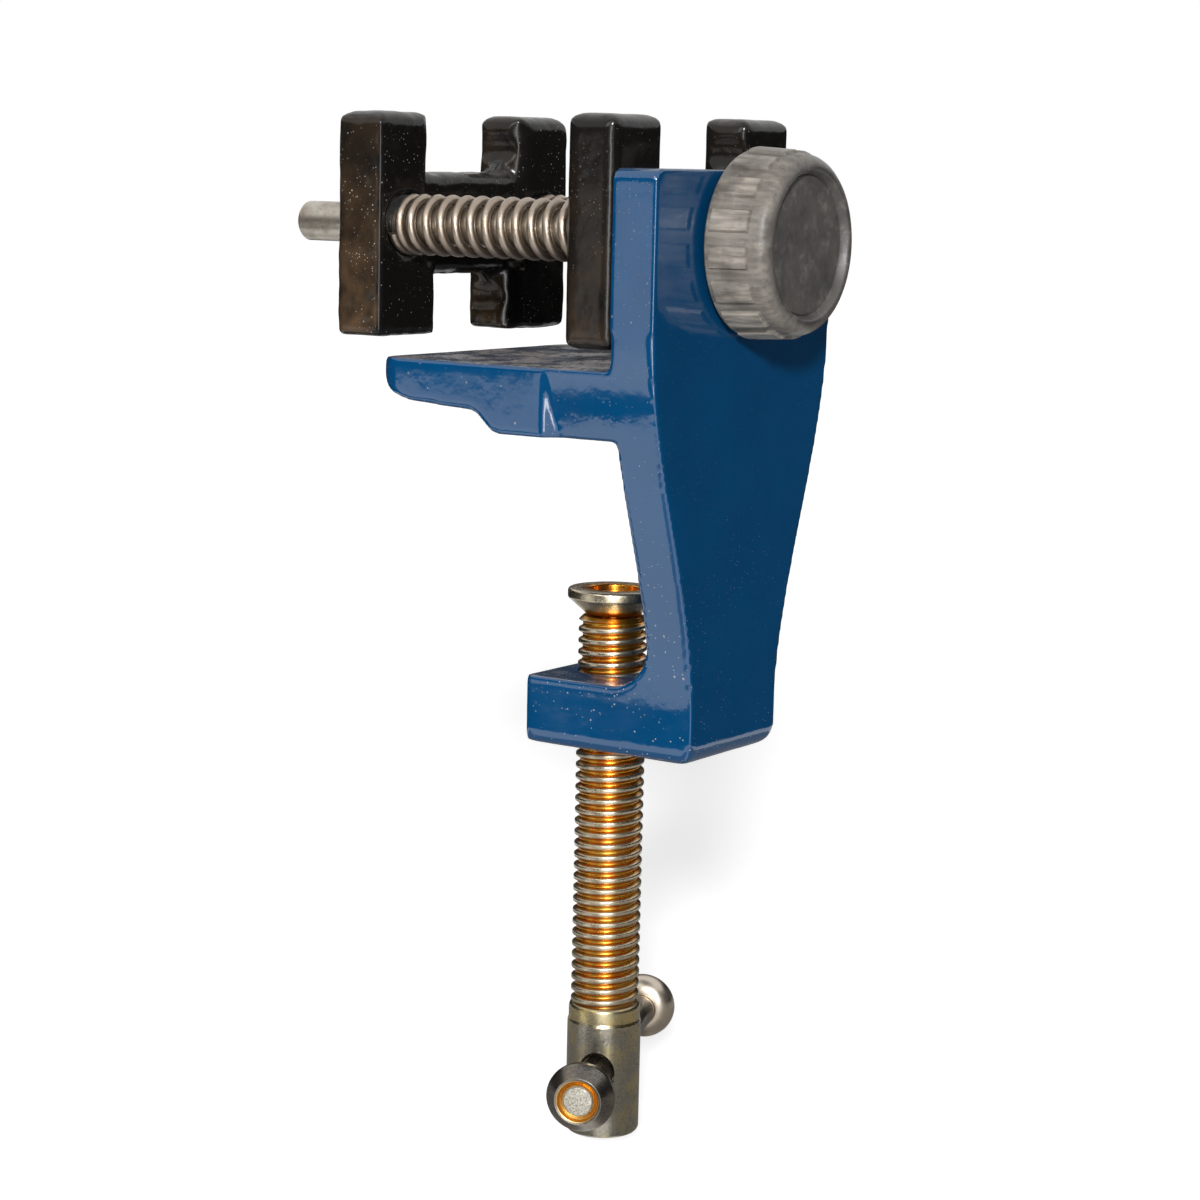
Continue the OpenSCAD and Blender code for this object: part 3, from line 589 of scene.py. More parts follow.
def spun(bm, geom, angle, steps, rise=0.0, merge=False):
    """Spins geometry round Z, rising at each step, and gives back the last row."""
    return bmesh.ops.spin(bm, geom=geom, cent=(0, 0, 0), axis=(0, 0, 1), dvec=(0, 0, rise), angle=angle,
                          steps=steps, use_merge=merge)["geom_last"]


def put(bm, place):
    """Turns a new body's faces outwards and puts it in place."""
    bmesh.ops.recalc_face_normals(bm, faces=bm.faces)
    bmesh.ops.transform(bm, matrix=place, verts=bm.verts)
    return bm


def drawn(bm, outline, closed=False):
    """Draws an outline of (radius, height) in the XZ plane, and gives back its vertices and edges."""
    verts = [bm.verts.new((point.x, 0.0, point.y)) for point in outline]
    following = verts[1:] + (verts[:1] if closed else [])
    return verts + [bm.edges.new(pair) for pair in zip(verts, following)]


def turned(corners, place, closed=False, steps=72):
    """Body turned round Z from corners of (radius, height, rounding), then put in place."""
    bm = bmesh.new()
    spun(bm, drawn(bm, rounded(corners, closed), closed), FULL_TURN, steps, merge=True)
    bmesh.ops.remove_doubles(bm, verts=bm.verts, dist=WELD)
    return put(bm, place)


def threaded(crest, depth, pitch, low, high, place, steps):
    """Right-hand thread round Z from low to high, with rounded crests and chamfered ends."""
    bm = bmesh.new()
    root, spare_turns = crest - depth, 2
    soft, foot, top, top_end, foot_end = (share * pitch for share in (0.14, 0.14, 0.36, 0.68, 0.90))
    rib = rounded([(root, 0.0, 0.0), (root, foot, soft), (crest, top, soft), (crest, top_end, soft),
                   (root, foot_end, soft), (root, pitch, 0.0)], steps=3)
    spun(bm, drawn(bm, rib), FULL_TURN, steps, pitch / steps)
    one_turn = everything(bm)
    bmesh.ops.translate(bm, verts=bm.verts, vec=(0, 0, low - spare_turns * pitch))
    for count in range(1, math.ceil((high - low) / pitch) + spare_turns + 1):
        move_new(bm, bmesh.ops.duplicate(bm, geom=one_turn)["geom"], (0, 0, count * pitch))
    bmesh.ops.remove_doubles(bm, verts=bm.verts, dist=WELD)
    for level, side in ((low, -1), (high, 1)):
        bmesh.ops.bisect_plane(bm, geom=everything(bm), plane_co=(0, 0, level), plane_no=(0, 0, side),
                               clear_outer=True)
    bmesh.ops.holes_fill(bm, edges=[edge for edge in bm.edges if edge.is_boundary], sides=0)
    for vert in bm.verts:
        room = root + min(high - vert.co.z, vert.co.z - low)
        away = vert.co.xy.length
        if away > room:
            vert.co.xy *= room / away
    return put(bm, place)


def wound(radius, wire, stages, place, steps=28, sides=12):
    """Wire wound round Z, right-hand, through stages of (turns, pitch)."""
    bm = bmesh.new()
    bmesh.ops.create_circle(bm, cap_ends=True, segments=sides, radius=wire / 2,
                            matrix=at(radius, 0, wire / 2, AGAINST_Y))
    tip = everything(bm)
    for turns, pitch in stages:
        tip = spun(bm, tip, FULL_TURN * turns, round(turns * steps), pitch / steps)
    return put(bm, place)


def rod(radius, low, high, place, sides=48):
    """Plain round or many-sided rod along Z."""
    bm = bmesh.new()
    shift = Matrix.Translation((0, 0, (low + high) / 2))
    bmesh.ops.create_cone(bm, cap_ends=True, segments=sides, radius1=radius, radius2=radius,
                          depth=high - low, matrix=place @ shift)
    return bm


def prism(corners, low, high, place=STILL, steps=5):
    """Closed outline of (X, Z, rounding) corners, drawn along Y from low to high, then put in place."""
    bm = bmesh.new()
    face = bm.faces.new([bm.verts.new((point.x, low, point.y)) for point in rounded(corners, True, steps)])
    move_new(bm, bmesh.ops.extrude_face_region(bm, geom=[face])["geom"], (0, high - low, 0))
    return put(bm, place)


def hex_corner(flat_r):
    """Radius to the corners of a hexagon."""
    return flat_r / math.cos(math.pi / 6)


def hexagon(flat_r, low, high, place):
    """Six-sided head or nut with its corners turned off."""
    corner_r, end_r = hex_corner(flat_r), 0.97 * flat_r
    bevel_h = (corner_r - end_r) * math.tan(math.radians(30))
    form = turned([(0, low, 0), (end_r, low, 0), (corner_r, low + bevel_h, 0), (corner_r, high - bevel_h, 0),
                   (end_r, high, 0), (0, high, 0)], place, steps=60)
    return cut(rod(corner_r, low, high, place, sides=6), form, "INTERSECT")


def joined(*bodies):
    """Several bodies as one mesh."""
    whole = bmesh.new()
    for body in bodies:
        mesh = bpy.data.meshes.new("shell")
        body.to_mesh(mesh)
        body.free()
        whole.from_mesh(mesh)
        bpy.data.meshes.remove(mesh)
    return whole


def placed(name, bm, *materials):
    """Object made from a body, with its materials."""
    mesh = bpy.data.meshes.new(name)
    bm.to_mesh(mesh)
    bm.free()
    for material in materials:
        mesh.materials.append(material)
    made = bpy.data.objects.new(name, mesh)
    bpy.context.collection.objects.link(made)
    return made


def worked(bm, kind, **settings):
    """The body after one modifier."""
    made = placed("blank", bm)
    modifier = made.modifiers.new(kind, kind)
    for name, value in settings.items():
        setattr(modifier, name, value)
    result = bmesh.new()
    result.from_object(made, bpy.context.evaluated_depsgraph_get())
    bpy.data.meshes.remove(made.data)
    return result


def cut(bm, tool, operation="DIFFERENCE"):
    """The body after another body is cut out of it, or what the two have in common."""
    cutter = placed("cutter", tool)
    result = worked(bm, "BOOLEAN", object=cutter, operation=operation, solver="EXACT", use_self=True)
    bpy.data.meshes.remove(cutter.data)
    return result


def add_piece(name, bm, material, body, nodes, crease=35.0):
    """Makes a piece of the object from a body, which rides with the frame and stands for some nodes."""
    piece = placed(name, bm, material)
    piece.data.shade_smooth()
    piece.data.set_sharp_from_angle(angle=math.radians(crease))
    if body:
        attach(piece, body)
    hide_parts(*nodes)
    return piece


def dress(node, material):
    """Gives a node that is shown as it is its finish."""
    data = frame["nodes"][node].data
    data.materials.clear()
    data.materials.append(material)


def dipped(bm, grain, lumps, seed):
    """A body as a thick coat leaves it: edges drawn soft, faces a little uneven."""
    rounds, lump_size, finer, finer_share, sink = 5, 6 * MM, 2.6, 0.45, 0.5
    bm = worked(bm, "REMESH", mode="VOXEL", voxel_size=grain, adaptivity=0.0)
    for _ in range(rounds):
        bmesh.ops.smooth_vert(bm, verts=bm.verts, factor=0.5, use_axis_x=True, use_axis_y=True, use_axis_z=True)
    bm.normal_update()
    for vert in bm.verts:
        spot = vert.co / lump_size + Vector((seed, 0, 0))
        rise = noise.noise(spot) + finer_share * noise.noise(spot * finer)
        vert.co += vert.normal * (lumps * (rise - sink))
    return bm


def half_width(sizes, height):
    """Half width of the upright at a height: it eases in below the shelf."""
    share = min(1.0, max(0.0, (sizes.taper_top - height) / sizes.taper_len))
    eased = share * share * (3 - 2 * share)
    return CASTING_HIGH.x - (CASTING_HIGH.x - sizes.foot_w / 2) * eased


def upright_outline(sizes, grow=0.0):
    """Corners of the upright as seen from the front, or of an outline that is wider by grow on each side."""
    steps = 28
    heights = [sizes.taper_top - sizes.taper_len * step / steps for step in range(steps - 1, -1, -1)]
    side = [(sizes.foot_w / 2 + grow, CASTING_LOW.z, 2.5 * MM),
            *((half_width(sizes, height) + grow, height, 0) for height in heights),
            (CASTING_HIGH.x + grow, CASTING_HIGH.z, 1.5 * MM)]
    return side + [(-x, z, radius) for x, z, radius in reversed(side)]


def upright_body(sizes):
    """Upright and lower arm."""
    foot, top, back, past = CASTING_LOW.z, CASTING_HIGH.z, CASTING_LOW.y, MM
    heel, inner, nose = 3.5 * MM, 8.5 * MM, 2.5 * MM
    arm_end, arm_top = UPRIGHT_IN + sizes.arm_reach, foot + sizes.arm_h
    arm_half = half_width(sizes, arm_top) + 0.3 * MM
    clear, wide = arm_end - 8 * MM, CASTING_HIGH.x + past
    profile = [(back, foot, heel), (arm_end, foot, MM), (arm_end, arm_top, 0), (UPRIGHT_IN, arm_top, inner),
               (UPRIGHT_IN, top, 0), (back, top, 0)]
    plan = [(-wide, back - past, 0), (wide, back - past, 0), (wide, clear, 0), (arm_half, clear, 0),
            (arm_half, arm_end, nose), (-arm_half, arm_end, nose), (-arm_half, clear, 0), (-wide, clear, 0)]
    body = prism(upright_outline(sizes), back, arm_end)
    body = cut(body, prism(profile, -wide, wide, ALONG_X, steps=12), "INTERSECT")
    return cut(body, prism(plan, -top - past, past - foot, ALONG_Y, steps=8), "INTERSECT")


def shelf_body(sizes):
    """Shelf that sits on the bench: seat, step and rounded nose, with a neck as wide as the upright."""
    tip, lap, past, deep = CASTING_HIGH.y, 2 * MM, MM, -20 * MM
    start, half, top = UPRIGHT_IN - lap, sizes.shelf_w / 2, sizes.shelf_h
    seat_end, neck_end = UPRIGHT_IN + sizes.seat_len, UPRIGHT_IN + sizes.neck_len
    step_len, lift, rise, fillet, neck_cut = 4 * MM, 3.5 * MM, 0.7 * MM, 1.2 * MM, 5 * MM
    nose, nose_low, nose_top = 10 * MM, lift + rise, top - 1.3 * MM
    step_round, corner = 2.5 * MM, 5 * MM
    curve = [math.radians(angle) for angle in range(0, 90, 9)]
    under = [(tip - nose * (1 - math.sin(a)), nose_top - (nose_top - nose_low) * math.cos(a), 0) for a in curve]
    profile = [(start, 0, 0), (seat_end, 0, step_round), (seat_end + step_len, lift, step_round), *under,
               (tip, top, fillet), (UPRIGHT_IN, top, fillet), (UPRIGHT_IN, top + fillet + past, 0),
               (start, top + fillet + past, 0)]
    plan = [(-half, start - past, 0), (half, start - past, 0), (half, tip, corner), (-half, tip, corner)]
    body = prism(profile, -half - past, half + past, ALONG_X, steps=8)
    body = cut(body, prism(plan, deep, past, ALONG_Y, steps=10), "INTERSECT")
    for side in (-1, 1):
        inner, outer = side * (half - neck_cut), side * (half + past)
        trim = prism([(inner, start - past, 0), (outer, start - past, 0), (outer, neck_end + past, 0),
                      (inner, neck_end - neck_cut, 0)], deep, past, ALONG_Y)
        body = cut(body, cut(trim, prism(upright_outline(sizes, SNUG), start - 2 * past, tip)))
    return body


class VISE_OT_casting(bpy.types.Operator):
    """Model the cast frame"""

    bl_idname = "vise.casting"
    bl_label = "Casting"

    def execute(self, context):
        sizes = context.scene.vise_sizes
        past, rod_socket, clip_seat, clip_r, seed = 2 * MM, 6 * MM, 1.2 * MM, 6 * MM, 5.0
        foot, end, at_lead = CASTING_LOW.z, UPRIGHT_IN + past, at(0, 0, LEAD_AXIS.z)
        bores = [rod(sizes.clamp_d / 2 + RUNNING, foot - past, foot + sizes.arm_h + past, STILL, sides=64),
                 rod(sizes.lead_d / 2 + RUNNING, CASTING_LOW.y - past, end, at_lead),
                 rod(clip_r, UPRIGHT_IN - clip_seat, end, at_lead),
                 *(rod(ROD_R + SNUG, UPRIGHT_IN - rod_socket, end, at(x, 0, ROD_H)) for x in (-ROD_X, ROD_X))]
        body = dipped(joined(upright_body(sizes), shelf_body(sizes)), sizes.casting_grain, sizes.casting_lumps, seed)
        body = cut(body, joined(*bores))
        enamel = finish_of(context.scene, "blue enamel")
        add_piece("casting", body, enamel, "frame", ["frame"], crease=60.0)
        return {"FINISHED"}


def jaw_block(low, high, outer, back, foot):
    """Block of a jaw on the +X side: outer grip edge rounded by outer, back edges by back and lower edges by foot."""
    grip, nose, steps = 4 * MM, 2.6 * MM, 8
    low, high = Vector(low), Vector(high)
    plan = [(low.x, low.y, grip), (high.x, low.y, outer), (high.x, high.y, back), (low.x, high.y, back)]
    profile = [(low.y, low.z, foot), (high.y, low.z, foot), (high.y, high.z, nose), (low.y, high.z, nose)]
    front = [(low.x, low.z, foot), (high.x, low.z, foot), (high.x, high.z, nose), (low.x, high.z, nose)]
    body = cut(prism(plan, -high.z, -low.z, ALONG_Y, steps), prism(profile, -high.x, -low.x, ALONG_X, steps),
               "INTERSECT")
    return cut(body, prism(front, low.y, high.y, steps=steps), "INTERSECT")


def jaw_body(sizes, *edges):
    """Solid H of a jaw, its blocks' edges rounded as told: grip face at y = 0 facing -Y, middle at the rods."""
    half_w, depth, half_h = JAW_SIZE.x / 2, JAW_SIZE.y, JAW_SIZE.z / 2
    half_web, web_end = sizes.web_h / 2, depth - sizes.web_back
    inner, inner_low = half_w - sizes.block_w, half_w - sizes.block_low_w
    fillet, lap, soft = 5 * MM, 1 * MM, 2.6 * MM
    web = [(sizes.web_set, -half_web, soft), (web_end, -half_web, soft), (web_end, half_web, soft),
           (sizes.web_set, half_web, soft)]
    shells = [prism(web, -inner - lap, inner + lap, ALONG_X)]
    half = [jaw_block((inner, 0, -half_h), (half_w, depth, half_h), *edges),
            jaw_block((inner_low, 0, -half_h), (half_w, depth, soft - half_web), *edges)]
    for edge, up in ((inner, 1), (inner_low, -1)):
        foot, face, top = up * (half_web - lap), up * half_web, up * (half_web + fillet)
        corner = [(edge - fillet, foot, 0), (edge - fillet, face, 0), (edge, face, fillet), (edge, top, 0),
                  (edge + lap, top, 0), (edge + lap, foot, 0)]
        half.append(prism(corner, sizes.web_set + soft, web_end - soft, steps=8))
    for shell in half:
        other = shell.copy()
        bmesh.ops.scale(other, vec=(-1, 1, 1), verts=other.verts)
        bmesh.ops.reverse_faces(other, faces=other.faces)
        shells += [shell, other]
    return joined(*shells)


def jaw_cuts(sizes, with_nut):
    """Holes for the rods and screw, spring seats, dents beside the web and the nut's pocket."""
    past = 2 * MM
    depth, end = JAW_SIZE.y, JAW_SIZE.y + past
    seat_r = sizes.coil_r + sizes.wire_d / 2 + LOOSE
    screw_room, nut_h = 0.5 * MM, 5 * MM
    dent_r, dent_z, dent = 4.5 * MM, 13.2 * MM, 0.75 * MM
    at_lead = at(0, 0, -LEAD_DROP)
    tools = [rod(sizes.lead_d / 2 + screw_room, -past, end, at_lead)]
    for side in (-1, 1):
        at_rod = at(side * ROD_X, 0, 0)
        tools += [rod(ROD_R + LOOSE, -past, end, at_rod), rod(seat_r, -past, sizes.coat_t, at_rod)]
        for width, up in ((sizes.block_w, 1), (sizes.block_low_w, -1)):
            dent_x = JAW_SIZE.x / 2 - width + dent - dent_r
            tools.append(rod(dent_r, -past, end, at(side * dent_x, 0, up * dent_z)))
    if with_nut:
        nut_low = depth - sizes.web_back - sizes.coat_t - nut_h
        tools.append(rod(hex_corner(HEX_R) + LOOSE, nut_low, end, at_lead, sides=6))
    return joined(*tools)


class VISE_OT_jaws(bpy.types.Operator):
    """Model the coats of the two jaws and dress their cores"""

    bl_idname = "vise.jaws"
    bl_label = "Jaws"

    def execute(self, context):
        sizes = context.scene.vise_sizes
        coat, iron = (finish_of(context.scene, name) for name in ("black dip coat", "jaw iron"))
        half_turn = Matrix.Rotation(math.pi, 4, "Z")
        fixed_edges, moving_edges = (2.5 * MM, 2.2 * MM, 2.6 * MM), (0.9 * MM, 1.8 * MM, 1.3 * MM)
        jaws = (("fixed", FIXED_GRIP, half_turn, "frame", fixed_edges, sizes.fixed_lumps, 3.0),
                ("moving", MOVING_GRIP, STILL, "jaw", moving_edges, sizes.moving_lumps, 11.0))
        for side, grip, facing, body, edges, lumps, seed in jaws:
            bm = cut(jaw_body(sizes, *edges), jaw_cuts(sizes, side == "moving"))
            bm = dipped(bm, sizes.coat_grain, lumps, seed)
            bmesh.ops.transform(bm, matrix=at(0, grip, ROD_H, facing), verts=bm.verts)
            add_piece(f"{side}_jaw_dip", bm, coat, body, [f"{side}_jaw_coat"], crease=180.0)
            dress(f"{side}_jaw", iron)
        return {"FINISHED"}


class VISE_OT_rods(bpy.types.Operator):
    """Model the guide rods"""

    bl_idname = "vise.rods"
    bl_label = "Guide rods"

    def execute(self, context):
        steel = finish_of(context.scene, "drawn steel")
        bevel = 0.6 * MM
        for side in ("left", "right"):
            node = f"guide_rod_{side}"
            low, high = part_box(node)
            long = high.y - low.y
            corners = [(0, 0, 0), (ROD_R, 0, 0.3 * MM), (ROD_R, long - bevel, 0.35 * MM),
                       (ROD_R - bevel, long, 0.25 * MM), (0, long, 0)]
            bm = turned(corners, at(middle(node).x, low.y, ROD_H))
            add_piece(f"ground_rod_{side}", bm, steel, "frame", [node])
        return {"FINISHED"}


class VISE_OT_springs(bpy.types.Operator):
    """Wind the return springs at their rest length; the real springs shorten as the jaws close"""

    bl_idname = "vise.springs"
    bl_label = "Return springs"

    def execute(self, context):
        sizes = context.scene.vise_sizes
        wire = finish_of(context.scene, "spring wire")
        gap, open_turns, wire_end = 0.05 * MM, 9.5, Matrix.Rotation(math.radians(200), 4, "Z")
        whole = MOVING_GRIP - FIXED_GRIP + 2 * (sizes.coat_t - gap) - sizes.wire_d
        closed = ((1.0, 1.04 * sizes.wire_d), (1.0, 1.5 * sizes.wire_d), (0.75, 2.05 * sizes.wire_d))
        last = (0.6, 1.05 * sizes.wire_d)
        taken = sum(turns * pitch for turns, pitch in (*closed, last))
        stages = (*closed, (open_turns, (whole - taken) / open_turns), last)
        start = MOVING_GRIP + sizes.coat_t - gap
        for side, x in (("left", -ROD_X), ("right", ROD_X)):
            bm = wound(sizes.coil_r, sizes.wire_d, stages, at(x, start, ROD_H, AGAINST_Y) @ wire_end)
            piece = add_piece(f"wound_spring_{side}", bm, wire, None, [f"return_spring_{side}"],
                              crease=60.0)
            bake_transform(piece)
        return {"FINISHED"}


class VISE_OT_lead_screw(bpy.types.Operator):
    """Model the lead screw and its nut, and dress its washer and clip"""

    bl_idname = "vise.lead_screw"
    bl_label = "Lead screw"

    def execute(self, context):
        sizes = context.scene.vise_sizes
        steel = finish_of(context.scene, "drawn steel")
        low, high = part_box("lead_screw")
        ring_low, ring_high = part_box("retaining_ring")
        place = at(0, 0, LEAD_AXIS.z)
        r, depth = sizes.lead_d / 2, 0.55 * sizes.lead_pitch
        neck, lap, soft = 2.4 * MM, 0.4 * MM, 0.2 * MM
        head_top = low.y + 4 * MM
        shank_end = FIXED_GRIP + 0.5 * MM
        shank = turned([(0, head_top - lap, 0), (r, head_top - lap, 0), (r, ring_low.y, 0), (neck, ring_low.y, 0),
                        (neck, ring_high.y, 0), (r, ring_high.y, 0), (r, FIXED_GRIP, soft),
                        (r - depth, shank_end, 0), (0, shank_end, 0)], place, steps=48)
        thread = threaded(r, depth, sizes.lead_pitch, FIXED_GRIP + soft, high.y, place, steps=28)
        head = hexagon(HEX_R, low.y, head_top, place)
        add_piece("lead_bolt", joined(shank, thread, head), steel, "knob", ["lead_screw"])
        low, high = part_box("jaw_nut")
        nut = cut(hexagon(HEX_R, low.y, high.y, place), rod(r + RUNNING, low.y - MM, high.y + MM, place))
        add_piece("hex_nut", nut, steel, "jaw", ["jaw_nut"])
        for node in ("thrust_washer", "retaining_ring"):
            dress(node, steel)
        return {"FINISHED"}


class VISE_OT_knob(bpy.types.Operator):
    """Model the fluted knob and the plug in its dished face"""

    bl_idname = "vise.knob"
    bl_label = "Knob"

    def execute(self, context):
        sizes = context.scene.vise_sizes
        plastic = finish_of(context.scene, "knob plastic")
        place = at(0, KNOB_BACK, LEAD_AXIS.z, AGAINST_Y)
        plug_low, plug_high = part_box("knob_cap")
        plug_r = (plug_high.x - plug_low.x) / 2
        dish_floor = KNOB_H - sizes.knob_dish
        plug_seat = dish_floor - (plug_high.y - plug_low.y)
        bore, lip = sizes.lead_d / 2 + SNUG, plug_r + SNUG
        hollow_r, hollow_floor, head_r, head_floor = 7 * MM, 7 * MM, 5.8 * MM, 3 * MM
        pad_low, pad_high, rise, flare = 0.9 * MM, 8.2 * MM, 0.55 * MM, 0.35 * MM
        foot_r, face_r = KNOB_R - rise, sizes.knob_face_d / 2
        lean = (foot_r - face_r) / KNOB_H
        corners = [(bore, 0, 0), (foot_r, 0, 0.5 * MM), (foot_r - lean * pad_low, pad_low, 0),
                   (foot_r - lean * pad_high, pad_high, 0), (face_r, KNOB_H, sizes.knob_rim),
                   (lip + 0.9 * MM, KNOB_H, 0.7 * MM), (lip, dish_floor - 0.2 * MM, 0), (lip, plug_seat, 0),
                   (hollow_r, plug_seat, 0), (hollow_r, hollow_floor, 0), (head_r, hollow_floor, 0),
                   (head_r, head_floor, 0), (bore, head_floor, 0)]
        per_pad, raised_columns, flank_r = 6, 4, 0.85 * KNOB_R
        columns = sizes.knob_pads * per_pad
        step = FULL_TURN / columns
        bm = turned(corners, STILL, closed=True, steps=columns)
        for first in range(0, columns, per_pad):
            raised = []
            for face in bm.faces:
                spot = face.calc_center_median()
                column = int((math.atan2(spot.y, spot.x) / step) % columns)
                on_flank = pad_low < spot.z < pad_high and spot.xy.length > flank_r
                if on_flank and first <= column < first + raised_columns:
                    raised.append(face)
            bmesh.ops.inset_region(bm, faces=raised, thickness=flare, depth=rise, use_boundary=True,
                                   use_even_offset=True)
        bmesh.ops.transform(bm, matrix=place, verts=bm.verts)
        add_piece("fluted_knob", bm, plastic, "knob", ["knob"], crease=50.0)
        plug = turned([(0, plug_seat, 0), (plug_r, plug_seat, 0.1 * MM), (plug_r, dish_floor, 0.25 * MM),
                       (0.6 * plug_r, dish_floor - 0.25 * MM, 3 * MM), (0, dish_floor - 0.3 * MM, 0)], place)
        add_piece("knob_plug", plug, plastic, "knob", ["knob_cap"])
        return {"FINISHED"}


def bar_place(shift=0.0, back=False):
    """Puts Z along the tommy bar, from the screw's axis plus a shift, or against it."""
    facing = (-BAR_DIR if back else BAR_DIR).to_track_quat("Z", "Y").to_matrix().to_4x4()
    return at(*(Vector((0, 0, BAR_MIDDLE.z)) + BAR_DIR * shift), facing)


class VISE_OT_clamp_screw(bpy.types.Operator):
    """Model the clamp screw and its swivel pad"""

    bl_idname = "vise.clamp_screw"
    bl_label = "Clamp screw"

    def execute(self, context):
        sizes = context.scene.vise_sizes
        zinc = finish_of(context.scene, "yellow zinc")
        crest, root = sizes.clamp_d / 2, sizes.clamp_d / 2 - sizes.clamp_depth
        gap, lap = 0.3 * MM, 1.2 * MM
        head_top = HEAD_END + sizes.head_len
        collar_r, collar_low, collar_step = HEAD_R - 0.2 * MM, head_top - 2.8 * MM, 0.5 * MM
        rivet_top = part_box("clamp_screw")[1].z
        rivet_low, spigot_r, rivet_r = rivet_top - MM, 3 * MM, 3.9 * MM
        hole_r, flare_r, mouth, past = 3.2 * MM, 5 * MM, 0.9 * MM, HEAD_R + MM
        dish_r, dish_low = 4.3 * MM, PAD_TOP - 2.2 * MM
        bore, neck_r, rim = spigot_r + RUNNING, 4.75 * MM, 1.6 * MM
        thread = threaded(crest, sizes.clamp_depth, sizes.clamp_pitch, head_top - lap, PAD_LOW - gap, STILL,
                          steps=64)
        spigot = turned([(0, PAD_LOW - 2 * gap, 0), (spigot_r, PAD_LOW - 2 * gap, 0), (spigot_r, rivet_low, 0),
                         (rivet_r, rivet_low, 0.2 * MM), (rivet_r, rivet_top, 0.5 * MM), (0, rivet_top, 0)],
                        STILL, steps=48)
        head = turned([(0, HEAD_END, 0), (HEAD_R, HEAD_END, 1.1 * MM), (HEAD_R, collar_low - collar_step, 0.4 * MM),
                       (collar_r, collar_low, 0.3 * MM), (collar_r, head_top, 0.8 * MM), (root, head_top, 0),
                       (0, head_top, 0)], STILL)
        drill = turned([(0, -past, 0), (flare_r, -past, 0), (hole_r, mouth - HEAD_R, 0), (hole_r, HEAD_R - mouth, 0),
                        (flare_r, past, 0), (0, past, 0)], bar_place(), steps=48)
        screw = joined(thread, spigot, cut(head, drill))
        add_piece("zinc_screw", screw, zinc, "screw", ["clamp_screw"])
        pad = turned([(bore, PAD_LOW, 0.1 * MM), (neck_r, PAD_LOW, 0.4 * MM), (PAD_R, PAD_TOP - rim, 0.5 * MM),
                      (PAD_R, PAD_TOP, 0.5 * MM), (dish_r, PAD_TOP, 0.3 * MM), (dish_r, dish_low, 0.2 * MM),
                      (bore, dish_low, 0.1 * MM)], STILL, closed=True)
        add_piece("swivel_pad", pad, zinc, "pad", ["pressure_pad"])
        return {"FINISHED"}


class VISE_OT_tommy_bar(bpy.types.Operator):
    """Model the tommy bar and its riveted caps"""

    bl_idname = "vise.tommy_bar"
    bl_label = "Tommy bar"

    def execute(self, context):
        sizes = context.scene.vise_sizes
        steel = finish_of(context.scene, "bar steel")
        half, r = sizes.bar_len / 2, sizes.bar_d / 2
        shift = BAR_MIDDLE.dot(BAR_DIR)
        end_r, swell_r, soft = r - 0.3 * MM, r + 0.12 * MM, 0.3 * MM
        end, swell_at, plain_at = half - 0.1 * MM, half - 0.7 * MM, half - 1.4 * MM
        tail = [(r, plain_at, 0), (swell_r, swell_at, soft), (end_r, end, soft), (0, end, 0)]
        corners = [(radius, -along, rounding) for radius, along, rounding in reversed(tail)] + tail
        add_piece("cross_bar", turned(corners, bar_place(shift)), steel, "bar", ["tommy_bar"])
        cap_r, long, hole = sizes.cap_d / 2, sizes.cap_len, r + SNUG
        mouth_r, face_r, land, dome = 3.6 * MM, 4.1 * MM, 0.35 * MM, 2.85 * MM
        cap_corners = [(hole, 1.1 * MM, 0), (mouth_r - 0.3 * MM, 0.75 * MM, 0.15 * MM), (mouth_r, 0.12 * MM, 0.1 * MM),
                       (face_r, 0, 0.12 * MM), (cap_r - land, 2.0 * MM, 0.3 * MM), (cap_r, 2.5 * MM, 0.15 * MM),
                       (cap_r, long, dome), (hole, long, 0.2 * MM)]
        for name, start, back in (("front", shift - half, False), ("rear", shift + half, True)):
            cap = turned(cap_corners, bar_place(start, back), closed=True)
            add_piece(f"bar_knob_{name}", cap, steel, "bar", [f"tommy_cap_{name}"])
        return {"FINISHED"}


